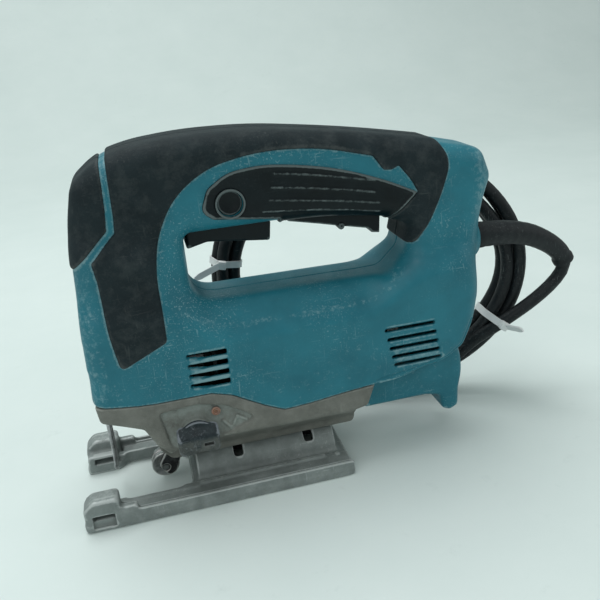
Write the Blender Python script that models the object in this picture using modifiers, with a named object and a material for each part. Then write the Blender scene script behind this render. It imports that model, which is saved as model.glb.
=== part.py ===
"""A corded top-handle jigsaw standing on its base, with its cord coiled behind it.

Sizes are in millimetres and are scaled to metres as each mesh is made. Stations along the tool (the first
number of a place) are measured back from the front edge of the base; the frame's origin is on the floor,
on the mid-plane and halfway along the tool. +X runs to the rear, where the cord leaves, and +Z is up.
"""

import math

import bmesh
import bpy
from mathutils import Matrix, Vector

MM = 0.001
GAP = 0.3

# The whole tool.
HALF_LENGTH = 126.0
BODY_HALF = 31.0
COLUMN_HALF = 27.0
HANDLE_HALF = 21.5
TAIL_HALF = 19.0
WALL = 2.6
RUBBER_LIFT = 1.5

# The base and the axis that it tilts about.
BASE_LENGTH = 158.0
BASE_HALF = 38.5
BASE_PLATE = 5.0
BASE_RIM = 9.5
BASE_HEAD = 19.0
TILT_HEIGHT = 4.0
ARCH_RADIUS = 17.0
ARCH_INSIDE = 13.4
BOLT_STATIONS = (92.0, 136.0)

# The drive line.
MOTOR_HEIGHT = 78.0
MOTOR_STATION = 134.0
GEAR_HEIGHT = 104.0
GEAR_RADIUS = 21.0
GEAR_TEETH = 30
PINION_TEETH = 6
PINION_RADIUS = 4.2
STROKE = 23.0
PLUNGER_STATION = 32.0
PLUNGER_RADIUS = 4.5
PIN_HEIGHT = GEAR_HEIGHT + STROKE / 2

# The blade roller and the pendulum knob.
ROLLER = (48.0, 12.0)
ROLLER_RADIUS = 8.3
HOLDER_PIVOT = (62.0, 45.0)
KNOB = (69.0, 46.0)
KNOB_RADIUS = 11.7

# The trigger and the lock button.
TRIGGER_PIVOT = (82.0, 157.0)
LOCK = (104.5, 170.0)
LOCK_RADIUS = 6.2

# The cord.
CORD_RADIUS = 4.2
CORD_HEIGHT = 124.5
GUARD_RADIUS = 8.4
COIL_CENTRE = (199.0, 57.0)
COIL_WIDE = 94.5
COIL_TALL = 80.0
COIL_BUNDLE = 12.0
COIL_YAW = -0.28
COIL_LEAN = -0.10

# Outlines are (station, height, corner radius), anticlockwise as seen with the front to the left.
UPPER_OUTLINE = (
    (17, 100, 10), (170, 96, 4), (243, 92, 8), (246.5, 118, 8), (250, 148, 10), (255.5, 165, 10),
    (249.5, 181, 10), (226, 187, 14), (176, 197, 60), (122, 204.8, 60), (85, 205.8, 40), (58, 203.5, 24),
    (41, 199, 12), (27.5, 188.5, 14), (21.5, 165, 40),
)
HANDLE_HOLE = (
    (78.4, 118.4, 14), (190, 118.4, 12), (201.5, 127, 8), (205.5, 144, 6), (192, 149.6, 10),
    (173, 152.8, 30), (153, 155.2, 30), (130, 155.8, 20), (78.6, 156, 5),
)
MOTOR_OUTLINE = (
    (16.2, 70.7, 4), (85, 70.7, 6), (94, 66.7, 6), (105, 58.8, 6), (117.5, 50.5, 8), (136, 51.7, 10),
    (172, 54.8, 8), (216, 59, 12), (232, 68, 12), (241, 84, 12), (243, 104, 12), (238, 126, 14),
    (202, 122, 16), (176, 105, 18), (92, 104, 18), (66, 122, 18), (20, 126, 10),
)
COLUMN_OUTLINE = (
    (17, 90, 4), (70, 90, 4), (72, 116, 18), (64, 154, 14), (22.5, 161, 10), (18, 112, 40),
)
TAIL_OUTLINE = (
    (173, 66, 2), (172.5, 43, 3), (177, 20.5, 5), (214, 20, 5), (222, 16, 4), (227, 8.2, 3), (234, 8.2, 4),
    (238.5, 24, 8), (238, 44, 10), (238, 70, 6), (226, 74, 4),
)
CASTING_OUTLINE = (
    (17, 70.3, 1), (18.2, 60.5, 3), (30, 56.5, 5), (41, 51.5, 4), (49, 39.5, 3), (167, 39.5, 3),
    (171.6, 54.3, 1.5), (136, 51.3, 10), (117.5, 50.1, 8), (104.8, 58.4, 6), (93.8, 66.3, 6), (85, 70.4, 6),
)
KEEL_OUTLINE = (
    (44, 43, 2), (46.5, 27, 6), (53, 19.5, 5), (62, 19.5, 2), (166, 19.5, 3), (169.5, 43, 2),
)

# Where the soft black covering lies, seen from the side; what reaches past the body only bounds it.
COVER_REGION = (
    (30.6, 151.5, 1), (31.8, 141, 4), (32.4, 112, 20), (35.2, 92.2, 3), (61, 104.3, 3), (61.4, 120, 20),
    (61.2, 140, 20), (64.9, 158, 20), (75.1, 177, 20), (94, 190.4, 24), (122, 195.6, 30), (153.8, 193.4, 30),
    (182.3, 185.6, 2), (188.3, 177.2, 3), (193.0, 176.9, 2), (196.9, 178.6, 1), (203.5, 170.5, 10),
    (207.6, 163, 0.5), (192.2, 148.7, 1), (191.3, 141.5, 6), (195, 133.6, 7), (205.8, 131.8, 7),
    (215, 145, 12), (222.5, 161.5, 16), (226.3, 174, 10), (225.5, 181, 8), (222.5, 188, 4), (219, 216, 2),
    (46.3, 216, 2), (45.2, 173.4, 20), (44.3, 164.2, 1),
)
NOSE_REGION = ((8, 148, 1), (21.5, 148.4, 1), (40.8, 165.2, 1), (42.3, 178, 20), (43.4, 216, 2), (8, 216, 1))
INLAY_REGION = (
    (88.8, 168.5, 6), (94.5, 163.6, 4), (108, 161.7, 4), (129.3, 158.3, 1.5), (131.5, 147, 1), (186, 138, 1),
    (191.8, 148.4, 1), (207.2, 162.9, 0.5), (188, 172.4, 20), (165, 180.9, 30), (143, 186, 30),
    (122, 188.7, 20), (104, 186.8, 14), (93, 179.5, 8),
)

TRIGGER_OUTLINE = (
    (79.5, 145.6, 1.5), (91, 148.2, 8), (125.6, 143.9, 1.5), (126.8, 154, 1), (125, 162, 3), (84, 162, 3),
    (79.5, 157, 2),
)
TRIM_OUTLINE = (
    (137, 153.4, 0.5), (139, 151.9, 1), (155, 148.2, 1), (166, 145.4, 1), (184.2, 141.2, 1),
    (185.4, 138.6, 0.5), (190.3, 137.8, 0.5), (190.3, 146.6, 0.5), (173, 150.4, 0.5), (153, 152.8, 0.5),
)
HOLDER_OUTLINE = (
    (49, 5.5, 3), (54, 8, 3), (60, 24, 6), (68.5, 44, 4), (64, 51, 4), (57, 48, 4), (50, 24, 6), (44, 14, 4),
)

# Screws that hold the halves: (station, height, how far out the head's seat is).
SCREWS = ((66.5, 139.0, 15.0), (100.0, 110.4, 15.0), (173.0, 110.4, 15.0), (226.0, 111.0, 24.8),
          (197.0, 42.0, 14.0))
BOSS_FLOOR = 4.2
FRONT_VENTS = (92.5, 86.5, 80.5, 74.5)
REAR_VENTS = (88.0, 82.3, 76.6, 70.9, 65.2)

MATERIALS = {
    "teal_plastic": ((0.020, 0.155, 0.216), 0.45, 0.0),
    "black_rubber": ((0.016, 0.018, 0.020), 0.80, 0.0),
    "black_plastic": ((0.010, 0.012, 0.014), 0.50, 0.0),
    "grey_casting": ((0.150, 0.143, 0.130), 0.60, 0.3),
    "base_aluminium": ((0.115, 0.142, 0.142), 0.50, 0.8),
    "steel": ((0.45, 0.45, 0.46), 0.32, 1.0),
    "dark_steel": ((0.06, 0.06, 0.065), 0.42, 1.0),
    "laminations": ((0.20, 0.20, 0.21), 0.45, 1.0),
    "copper": ((0.70, 0.32, 0.17), 0.35, 1.0),
    "brass": ((0.60, 0.42, 0.16), 0.38, 1.0),
    "carbon": ((0.02, 0.02, 0.02), 0.70, 0.0),
    "white_nylon": ((0.80, 0.82, 0.82), 0.45, 0.0),
    "cable_rubber": ((0.012, 0.013, 0.015), 0.60, 0.0),
    "knob_plastic": ((0.030, 0.036, 0.048), 0.50, 0.0),
}

tool = bpy.data.collections.new("jigsaw")
cutters = bpy.data.collections.new("jigsaw_cutters")


# Places, outlines and small mesh helpers.


def place(station, y, z):
    return Vector(((station - HALF_LENGTH) * MM, y * MM, z * MM))


def material(name):
    found = bpy.data.materials.get(name)
    if found:
        return found
    colour, roughness, metallic = MATERIALS[name]
    made = bpy.data.materials.new(name)
    made.use_nodes = True
    shader = made.node_tree.nodes["Principled BSDF"]
    shader.inputs["Base Color"].default_value = (*colour, 1.0)
    shader.inputs["Roughness"].default_value = roughness
    shader.inputs["Metallic"].default_value = metallic
    made.diffuse_color = (*colour, 1.0)
    return made


def rounded(corners, steps=3):
    """Points round a polygon of (x, z, radius) corners; each radius becomes a short curve."""
    points = []
    for i, (x, z, radius) in enumerate(corners):
        here = Vector((x, z))
        if not radius:
            points.append(here)
            continue
        back = Vector(corners[i - 1][:2]) - here
        ahead = Vector(corners[(i + 1) % len(corners)][:2]) - here
        reach = min(radius / math.tan(back.angle(ahead) / 2), 0.47 * back.length, 0.47 * ahead.length)
        start = here + back.normalized() * reach
        end = here + ahead.normalized() * reach
        for k in range(steps + 1):
            t = k / steps
            points.append((1 - t) ** 2 * start + 2 * t * (1 - t) * here + t * t * end)
    return points


def grown(corners, distance):
    """The same polygon with each side moved outward by a distance."""
    result = []
    for i, (x, z, radius) in enumerate(corners):
        here = Vector((x, z))
        before = (here - Vector(corners[i - 1][:2])).normalized()
        after = (Vector(corners[(i + 1) % len(corners)][:2]) - here).normalized()
        out_before = Vector((before.y, -before.x))
        out_after = Vector((after.y, -after.x))
        shift = (out_before + out_after) / (1 + out_before.dot(out_after)) * distance
        convex = before.x * after.y - before.y * after.x > 0
        wider = radius + (distance if convex else -distance)
        result.append((x + shift.x, z + shift.y, max(wider, 0.3) if radius else 0))
    return result


def new_object(name, mesh, collection, finish=None):
    obj = bpy.data.objects.new(name, mesh)
    collection.objects.link(obj)
    if finish:
        mesh.materials.append(material(finish))
    if collection is cutters:
        obj.hide_render = True
        obj.display_type = "WIRE"
    return obj


def from_bmesh(name, bm, finish=None, collection=None):
    bmesh.ops.recalc_face_normals(bm, faces=bm.faces)
    mesh = bpy.data.meshes.new(name)
    bm.to_mesh(mesh)
    bm.free()
    obj = new_object(name, mesh, collection or (tool if finish else cutters), finish)
    mesh.shade_smooth()
    mesh.set_sharp_from_angle(angle=math.radians(35))
    return obj


def box(name, stations, ys, zs, finish=None, chamfer=0.0):
    bm = bmesh.new()
    bmesh.ops.create_cube(bm, size=1.0)
    low, high = place(stations[0], ys[0], zs[0]), place(stations[1], ys[1], zs[1])
    bmesh.ops.scale(bm, vec=high - low, verts=bm.verts)
    bmesh.ops.translate(bm, vec=(low + high) / 2, verts=bm.verts)
    if chamfer:
        bmesh.ops.bevel(bm, geom=bm.edges[:], offset=chamfer * MM, segments=1, affect="EDGES")
    return from_bmesh(name, bm, finish)


def rod(name, start, end, radius, finish=None, sides=24, end_radius=None):
    """A cylinder or a cone between two places."""
    low, high = place(*start), place(*end)
    axis = high - low
    bm = bmesh.new()
    bmesh.ops.create_cone(
        bm, cap_ends=True, segments=sides, radius1=radius * MM,
        radius2=(radius if end_radius is None else end_radius) * MM, depth=axis.length,
    )
    turn = axis.to_track_quat("Z", "Y").to_matrix().to_4x4()
    bmesh.ops.transform(bm, matrix=Matrix.Translation((low + high) / 2) @ turn, verts=bm.verts)
    return from_bmesh(name, bm, finish)


def turned(name, profile, centre, axis, finish, sides=28):
    """A turned piece: (radius, distance along the axis) points that run round its section."""
    area = sum(a[0] * b[1] - b[0] * a[1] for a, b in zip(profile, (*profile[1:], profile[0])))
    profile = profile if area < 0 else profile[::-1]
    bm = bmesh.new()
    ring = [bm.verts.new((radius * MM, 0, along * MM)) for radius, along in profile]
    closed = all(radius > 0 for radius, along in profile)
    for a, b in zip(ring, ring[1:] + ring[:1] if closed else ring[1:]):
        bm.edges.new((a, b))
    mesh = bpy.data.meshes.new(name)
    bm.to_mesh(mesh)
    bm.free()
    obj = new_object(name, mesh, tool if finish else cutters, finish)
    obj.location = place(*centre)
    obj.rotation_euler = {"X": (0, math.pi / 2, 0), "Y": (-math.pi / 2, 0, 0), "Z": (0, 0, 0)}[axis]
    screw = obj.modifiers.new("turn", "SCREW")
    screw.steps = screw.render_steps = sides
    screw.use_merge_vertices = True
    screw.merge_threshold = 0.000001
    screw.use_smooth_shade = False
    return obj


def ring(name, inner, outer, low, high, centre, axis, finish, sides=28):
    """A plain bush, race or band: its section is a rectangle."""
    profile = ((outer, high), (outer, low), (inner, low), (inner, high))
    return turned(name, profile, centre, axis, finish, sides)


def spindle(name, profile, centre, axis, finish, sides=28):
    """A solid turned piece from (radius, distance) steps, closed on the axis at both ends."""
    return turned(name, ((0, profile[0][1]), *profile, (0, profile[-1][1])), centre, axis, finish, sides)


def prism(name, corners, ys, finish=None, steps=3):
    """A flat outline in the side view, given a thickness across the tool."""
    curve = bpy.data.curves.new(name, "CURVE")
    curve.dimensions = "2D"
    curve.fill_mode = "BOTH"
    curve.extrude = abs(ys[1] - ys[0]) / 2 * MM
    points = rounded(corners, steps)
    spline = curve.splines.new("POLY")
    spline.points.add(len(points) - 1)
    spline.use_cyclic_u = True
    for slot, point in zip(spline.points, points):
        spot = place(point.x, 0, point.y)
        slot.co = (spot.x, spot.z, 0, 1)
    flat = bpy.data.objects.new(name + "_outline", curve)
    mesh = bpy.data.meshes.new_from_object(flat)
    bpy.data.objects.remove(flat)
    bpy.data.curves.remove(curve)
    bm = bmesh.new()
    bm.from_mesh(mesh)
    bpy.data.meshes.remove(mesh)
    bmesh.ops.remove_doubles(bm, verts=bm.verts, dist=0.000001)
    upright = Matrix.Translation((0, sum(ys) / 2 * MM, 0)) @ Matrix.Rotation(math.pi / 2, 4, "X")
    bmesh.ops.transform(bm, matrix=upright, verts=bm.verts)
    return from_bmesh(name, bm, finish)


def tube(name, points, radius, finish, resolution=2, radii=None):
    """A cord, wire or tapered sleeve along a list of places."""
    curve = bpy.data.curves.new(name, "CURVE")
    curve.dimensions = "3D"
    curve.bevel_depth = radius * MM
    curve.bevel_resolution = resolution
    curve.use_fill_caps = True
    spline = curve.splines.new("POLY")
    spline.points.add(len(points) - 1)
    for i, (slot, point) in enumerate(zip(spline.points, points)):
        slot.co = (*place(*point), 1)
        slot.radius = radii[i] / radius if radii else 1.0
    line = bpy.data.objects.new(name + "_line", curve)
    mesh = bpy.data.meshes.new_from_object(line)
    bpy.data.objects.remove(line)
    bpy.data.curves.remove(curve)
    bm = bmesh.new()
    bm.from_mesh(mesh)
    bpy.data.meshes.remove(mesh)
    bmesh.ops.remove_doubles(bm, verts=bm.verts, dist=0.000001)
    return from_bmesh(name, bm, finish)


def smooth_line(route, spacing):
    """Evenly spaced places on a smooth curve through a route's points."""
    knots = [Vector(point) for point in route]
    knots = [2 * knots[0] - knots[1], *knots, 2 * knots[-1] - knots[-2]]
    dense = []
    for a, b, c, d in zip(knots, knots[1:], knots[2:], knots[3:]):
        for k in range(12):
            t = k / 12
            dense.append(0.5 * (2 * b + (c - a) * t + (2 * a - 5 * b + 4 * c - d) * t * t
                                + (3 * b - a - 3 * c + d) * t ** 3))
    dense.append(knots[-2])
    along = [0.0]
    for a, b in zip(dense, dense[1:]):
        along.append(along[-1] + (b - a).length)
    count = max(2, round(along[-1] / spacing))
    line = []
    i = 0
    for k in range(count + 1):
        target = along[-1] * k / count
        while i < len(dense) - 2 and along[i + 1] < target:
            i += 1
        share = (target - along[i]) / (along[i + 1] - along[i])
        line.append(dense[i].lerp(dense[i + 1], min(share, 1.0)))
    return line


def change(obj, operation, other, solver="EXACT"):
    """A Boolean with the other shape, which becomes a cutter."""
    modifier = obj.modifiers.new(operation.lower(), "BOOLEAN")
    modifier.operation = operation
    modifier.solver = solver
    modifier.object = other
    return obj


def cut(obj, *others, solver="EXACT"):
    for other in others:
        change(obj, "DIFFERENCE", other, solver)
    return obj


def join(obj, *others, solver="EXACT"):
    for other in others:
        change(obj, "UNION", other, solver)
    return obj


def set_origin(obj, station, y, z):
    """Moves an object's origin to its joint's axis and leaves its shape where it is."""
    spot = place(station, y, z)
    obj.data.transform(Matrix.Translation(-spot))
    obj.location = spot
    return obj


# The body's outer form, which the housings, their hollows and the coverings share.


def slab(name, corners, half, rounding, side, grow=0.0, start=0.15, hole=None, layers=3):
    """One side of a block that stands on the mid-plane, or the whole of it, with its outer edges rounded."""
    sections = []
    for k in range(layers + 1):
        turn = math.pi / 2 * k / layers
        sections.append((half + grow - (rounding + grow) * (1 - math.sin(turn)),
                         -(rounding + grow) * (1 - math.cos(turn))))
    if start is None:
        sections = [(-y, inset) for y, inset in sections[::-1]] + sections
    else:
        sections.insert(0, (start, 0.0))
    bm = bmesh.new()
    ends = ([], [])
    for corners_of, sign in ((corners, 1), (hole, -1)):
        if corners_of is None:
            continue
        rings = []
        for y, inset in sections:
            outline = rounded(grown(corners_of, sign * (grow + inset)), 2)
            rings.append([bm.verts.new(place(p.x, side * y, p.y)) for p in outline])
        for lower, upper in zip(rings, rings[1:]):
            for i in range(len(lower)):
                j = (i + 1) % len(lower)
                bm.faces.new((lower[i], lower[j], upper[j], upper[i]))
        for end, loop in zip(ends, (rings[0], rings[-1])):
            end += [bm.edges.get((loop[i - 1], loop[i])) for i in range(len(loop))]
    for edges in ends:
        bmesh.ops.triangle_fill(bm, edges=edges, use_beauty=True)
    return from_bmesh(name, bm)


def collar(name, side, grow, start):
    """Half of the boss that the cord's sleeve comes out of."""
    round_boss = rod(name, (236, 0, CORD_HEIGHT), (251.5 + grow, 0, CORD_HEIGHT), 12.5 + grow, sides=28)
    reach = box(name + "_side", (230, 256), sorted((side * start, side * 40)), (100, 150))
    return change(round_boss, "INTERSECT", reach)


def body_form(name, side, grow, start=0.15, layers=2):
    """The body's side, grown or shrunk evenly."""
    form = slab(name, UPPER_OUTLINE, HANDLE_HALF, 11.0, side, grow, start, HANDLE_HOLE, layers)
    motor = slab(name + "_motor", MOTOR_OUTLINE, BODY_HALF, 9.0, side, grow, start, None, layers)
    column = slab(name + "_column", COLUMN_OUTLINE, COLUMN_HALF, 10.0, side, grow, start, None, layers)
    tail = slab(name + "_tail", TAIL_OUTLINE, TAIL_HALF, 4.0, side, grow, start, None, max(layers - 1, 1))
    return join(form, motor, column, tail, collar(name + "_collar", side, grow, start), solver="MANIFOLD")


# The housings and what covers them.


def vent_cutter(name, side):
    """All of one side's louvre slots, as one cutter."""
    bm = bmesh.new()
    slots = [(69.5, 91.5, z, 2.4) for z in FRONT_VENTS]
    slots += [(182 + (88 - z) * 0.22, 213 + (88 - z) * 0.18, z, 1.8) for z in REAR_VENTS]
    for front, rear, z, tall in slots:
        made = bmesh.ops.create_cube(bm, size=1.0)["verts"]
        low, high = place(front, side * 34, z - tall / 2), place(rear, side * 25, z + tall / 2)
        size = Vector([abs(c) for c in high - low])
        bmesh.ops.scale(bm, vec=size, verts=made)
        bmesh.ops.translate(bm, vec=(low + high) / 2, verts=made)
    return from_bmesh(name, bm)


def housing(name, side):
    """A moulded half shell. Its many shallow crossings need the MANIFOLD solver to stay closed."""
    shell = body_form(name + "_form", side, 0.0)
    shell.name = name
    cutters.objects.unlink(shell)
    tool.objects.link(shell)
    shell.hide_render = False
    shell.display_type = "TEXTURED"
    shell.data.materials.append(material("teal_plastic"))
    cut(shell, body_form(name + "_hollow", side, -WALL, -1.0, 1), solver="MANIFOLD")
    for i, (station, z, reach) in enumerate(SCREWS):
        wall = reach + BOSS_FLOOR
        boss = rod(f"{name}_boss_{i}", (station, side * 0.15, z), (station, side * wall, z), 4.6, sides=16)
        join(shell, boss, solver="MANIFOLD")
    for i, (station, z, reach) in enumerate(SCREWS):
        bore = rod(f"{name}_bore_{i}", (station, -side, z), (station, side * 12, z), 2.0, sides=12)
        cut(shell, bore, solver="MANIFOLD")
        if side > 0:
            cut(shell,
                rod(f"{name}_bore_through_{i}", (station, 11, z), (station, reach + 1, z), 2.0, sides=12),
                rod(f"{name}_counterbore_{i}", (station, reach, z), (station, 40, z), 3.7, sides=16),
                solver="MANIFOLD")
    cut(shell,
        vent_cutter(name + "_vents", side),
        box(name + "_trigger_slot", (77, 130.7), (-9.7, 9.7), (138, 162)),
        box(name + "_drive_way", (21, 97), (-24.5, 24.5), (54, 78)),
        rod(name + "_cord_bore", (230, 0, CORD_HEIGHT), (256, 0, CORD_HEIGHT), GUARD_RADIUS + 0.4, sides=24),
        solver="MANIFOLD")
    if side < 0:
        cut(shell, rod(name + "_lock_bore", (LOCK[0], -8, LOCK[1]), (LOCK[0], -30, LOCK[1]), 6.9, sides=28),
            solver="MANIFOLD")
    return shell


def covering(name, region, side, finish, outer, inner):
    """A thin skin over the part of the body that a region of the side view bounds."""
    ys = sorted((side * 0.15, side * 40))
    skin = prism(name, region, ys, finish)
    change(skin, "INTERSECT", outer, "MANIFOLD")
    return cut(skin, inner, solver="MANIFOLD")


def coverings():
    for label, side in (("left", -1), ("right", 1)):
        outer = body_form(f"cover_outer_{label}", side, RUBBER_LIFT, 0.15)
        inner = body_form(f"cover_inner_{label}", side, GAP, -0.5)
        covering(f"rubber_cover_{label}", COVER_REGION, side, "black_rubber", outer, inner)
        covering(f"nose_pad_{label}", NOSE_REGION, side, "black_rubber", outer, inner)
        inlay = covering(f"grip_inlay_{label}", INLAY_REGION, side, "black_plastic", outer, inner)
        cut(inlay, box(f"inlay_trigger_gap_{label}", (76, 131), (-9.9, 9.9), (138, 163)), solver="MANIFOLD")
        if side < 0:
            cut(inlay, rod("inlay_lock_bore", (LOCK[0], -15, LOCK[1]), (LOCK[0], -30, LOCK[1]), 9.4, sides=28),
                solver="MANIFOLD")
        for i in range(4):
            low = 157.5 + 6.2 * i
            groove = box(f"grip_groove_{label}_{i}", (131, 184 - 2 * i), sorted((side * 22.6, side * 26)),
                         (low, low + 1.0))
            cut(inlay, groove, solver="MANIFOLD")


# The casting below the motor, with the base that tilts under it.


def gear_housing():
    half = BODY_HALF - 0.4
    keel = prism("gear_housing", KEEL_OUTLINE, (-12, 12), "grey_casting")
    join(keel,
         slab("casting_block", CASTING_OUTLINE, half, 4.0, 1, start=None, layers=2),
         rod("casting_knob_boss", (KNOB[0], -28, KNOB[1]), (KNOB[0], -32.6, KNOB[1]), 12.6, sides=32),
         solver="MANIFOLD")
    cut(keel,
        box("casting_gear_room", (22, 97), (-24, 24), (64, 80)),
        box("casting_gear_pit", (48, 97), (-24, 24), (47.5, 70)),
        rod("casting_clamp_way", (PLUNGER_STATION, 0, 45), (PLUNGER_STATION, 0, 66), 8.6),
        box("casting_holder_way", (42.5, 71), (-8.6, 8.6), (12, 54)),
        rod("casting_pivot_bore", (HOLDER_PIVOT[0], -13, HOLDER_PIVOT[1]),
            (HOLDER_PIVOT[0], 13, HOLDER_PIVOT[1]), 2.3, sides=16),
        rod("casting_arch_way", (60.5, 0, TILT_HEIGHT), (175, 0, TILT_HEIGHT), ARCH_RADIUS + 0.6, sides=48),
        rod("casting_shaft_bore", (KNOB[0], -40, KNOB[1]), (KNOB[0], -6, KNOB[1]), 3.9, sides=20),
        rod("casting_side_screw_seat", (81, -40, 57), (81, -29, 57), 2.9, sides=16),
        solver="MANIFOLD")
    for i, station in enumerate(BOLT_STATIONS):
        cut(keel, rod(f"casting_bolt_bore_{i}", (station, 0, 10), (station, 0, 37), 2.8, sides=16),
            solver="MANIFOLD")
    for side in (-1, 1):
        cut(keel, rod(f"casting_wire_bore_{side}", (20.0, side * 4.5, 55), (20.0, side * 4.5, 66), 1.6, sides=12),
            solver="MANIFOLD")
        panel = prism(f"casting_panel_{side}",
                      ((58, 64, 2), (50, 44.5, 2), (88, 44.5, 2), (106, 53, 2), (94, 62, 2)),
                      sorted((side * (half - 1.6), side * (half + 3))))
        ring_keep = rod(f"casting_panel_keep_{side}", (KNOB[0], side * 20, KNOB[1]),
                        (KNOB[0], side * 36, KNOB[1]), 12.6, sides=32)
        if side < 0:
            cut(panel, ring_keep)
        cut(keel, panel, solver="MANIFOLD")
    return keel


def base_outline_cutter():
    """The open throat at the front of the base, between its two prongs."""
    corners = ((-3, -19, 0), (19, -19, 3), (25, -24, 4), (56, -24, 7), (62, -16, 7), (62, 16, 7), (56, 24, 7),
               (25, 24, 4), (19, 19, 3), (-3, 19, 0))
    bm = bmesh.new()
    ring_points = rounded(corners, 4)
    low = [bm.verts.new(place(p.x, p.y, -2)) for p in ring_points]
    bottom = bm.faces.new(low)
    lifted = bmesh.ops.extrude_face_region(bm, geom=[bottom])["geom"]
    bmesh.ops.translate(bm, vec=(0, 0, 30 * MM), verts=[v for v in lifted if isinstance(v, bmesh.types.BMVert)])
    return from_bmesh("base_throat", bm)


def base_plate():
    plate = box("base_plate", (0, BASE_LENGTH), (-BASE_HALF, BASE_HALF), (0, BASE_PLATE), "base_aluminium", 0.8)
    for side in (-1, 1):
        ys = sorted((side * (BASE_HALF - 0.2), side * 33.5))
        join(plate, box(f"base_rim_{side}", (14, BASE_LENGTH - 0.5), ys, (0.4, BASE_RIM), chamfer=0.7))
        head = box(f"base_head_{side}", (0.3, 19.5), sorted((side * 25.5, side * (BASE_HALF - 0.3))),
                   (0.5, BASE_HEAD), chamfer=2.2)
        cheek = box(f"base_cheek_{side}", (0.6, 19), sorted((side * 16, side * 30)), (0.5, 12), chamfer=1.5)
        inner = box(f"base_inner_rim_{side}", (16, 66), sorted((side * 22, side * 27)), (0.5, 8), chamfer=0.8)
        ridge = box(f"base_ridge_{side}", (60, 146), sorted((side * 25.2, side * 27.2)), (0.5, 6.4), chamfer=0.5)
        join(plate, head, cheek, inner, ridge,
             rod(f"base_stud_{side}", (150, side * 24, 2), (150, side * 24, 6.4), 2.2, sides=16))
    join(plate, base_arch())
    cut(plate, base_outline_cutter())
    for side in (-1, 1):
        cut(plate, box(f"base_fence_slot_{side}", (4.5, 17), sorted((side * 14, side * 42)), (2.6, 10)))
    for i, station in enumerate(BOLT_STATIONS):
        cut(plate,
            rod(f"base_bolt_room_{i}", (station - 6.5, 0, TILT_HEIGHT), (station + 6.5, 0, TILT_HEIGHT),
                ARCH_INSIDE, sides=36),
            box(f"base_bolt_slot_{i}", (station - 3.1, station + 3.1), (-14.5, 14.5), (10, 30)))
    return set_origin(plate, BASE_LENGTH / 2, 0, TILT_HEIGHT)


def base_arch():
    """The round saddle that lets the base tilt under the casting."""
    arch = rod("base_arch", (66, 0, TILT_HEIGHT), (152, 0, TILT_HEIGHT), ARCH_RADIUS, sides=48)
    return cut(arch, box("base_arch_below", (60, 160), (-30, 30), (-20, 0.5)))


def base_bolts():
    for label, station in zip(("front", "rear"), BOLT_STATIONS):
        spindle(f"base_bolt_{label}", ((4.5, 12.2), (4.5, 16.1), (2.4, 16.2), (2.4, 35)), (station, 0, 0), "Z",
                "dark_steel", 12)


# The drive line.


def gear_outline(teeth, root, tip):
    """A spur gear's section as points in the plane across the tool."""
    points = []
    for tooth in range(teeth):
        for share, radius in ((-0.32, root), (-0.14, tip), (0.14, tip), (0.32, root)):
            turn = 2 * math.pi * (tooth + share) / teeth
            points.append((radius * math.cos(turn), radius * math.sin(turn)))
    return points


def gear_wheel(name, stations, centre_height, teeth, root, tip, finish=None):
    bm = bmesh.new()
    face = bm.faces.new([
        bm.verts.new(place(stations[0], y, centre_height + z)) for y, z in gear_outline(teeth, root, tip)
    ])
    lifted = bmesh.ops.extrude_face_region(bm, geom=[face])["geom"]
    depth = (stations[1] - stations[0]) * MM
    bmesh.ops.translate(bm, vec=(depth, 0, 0), verts=[v for v in lifted if isinstance(v, bmesh.types.BMVert)])
    return from_bmesh(name, bm, finish)


def drive_gear():
    gear = gear_wheel("drive_gear", (50, 58), GEAR_HEIGHT, GEAR_TEETH, GEAR_RADIUS - 1.5, GEAR_RADIUS,
                      "dark_steel")
    join(gear,
         rod("gear_hub", (46, 0, GEAR_HEIGHT), (62, 0, GEAR_HEIGHT), 8),
         rod("gear_web", (48, 0, GEAR_HEIGHT), (52, 0, GEAR_HEIGHT), 16),
         rod("gear_crank_pin", (43.6, 0, PIN_HEIGHT), (50, 0, PIN_HEIGHT), 3.2, sides=16))
    cut(gear, rod("gear_bore", (40, 0, GEAR_HEIGHT), (66, 0, GEAR_HEIGHT), 3.9, sides=20))
    set_origin(gear, 54, 0, GEAR_HEIGHT)
    rod("gear_axle", (45, 0, GEAR_HEIGHT), (68.5, 0, GEAR_HEIGHT), 3.5, "steel", 20)
    web = box("bearing_bridge", (63.5, 69.5), (-23.5, 23.5), (62, 116), "grey_casting", 2.0)
    cut(web,
        rod("bridge_bearing_seat", (60, 0, MOTOR_HEIGHT), (73, 0, MOTOR_HEIGHT), 9.4, sides=28),
        rod("bridge_axle_bore", (60, 0, GEAR_HEIGHT), (73, 0, GEAR_HEIGHT), 3.8, sides=20))


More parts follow.
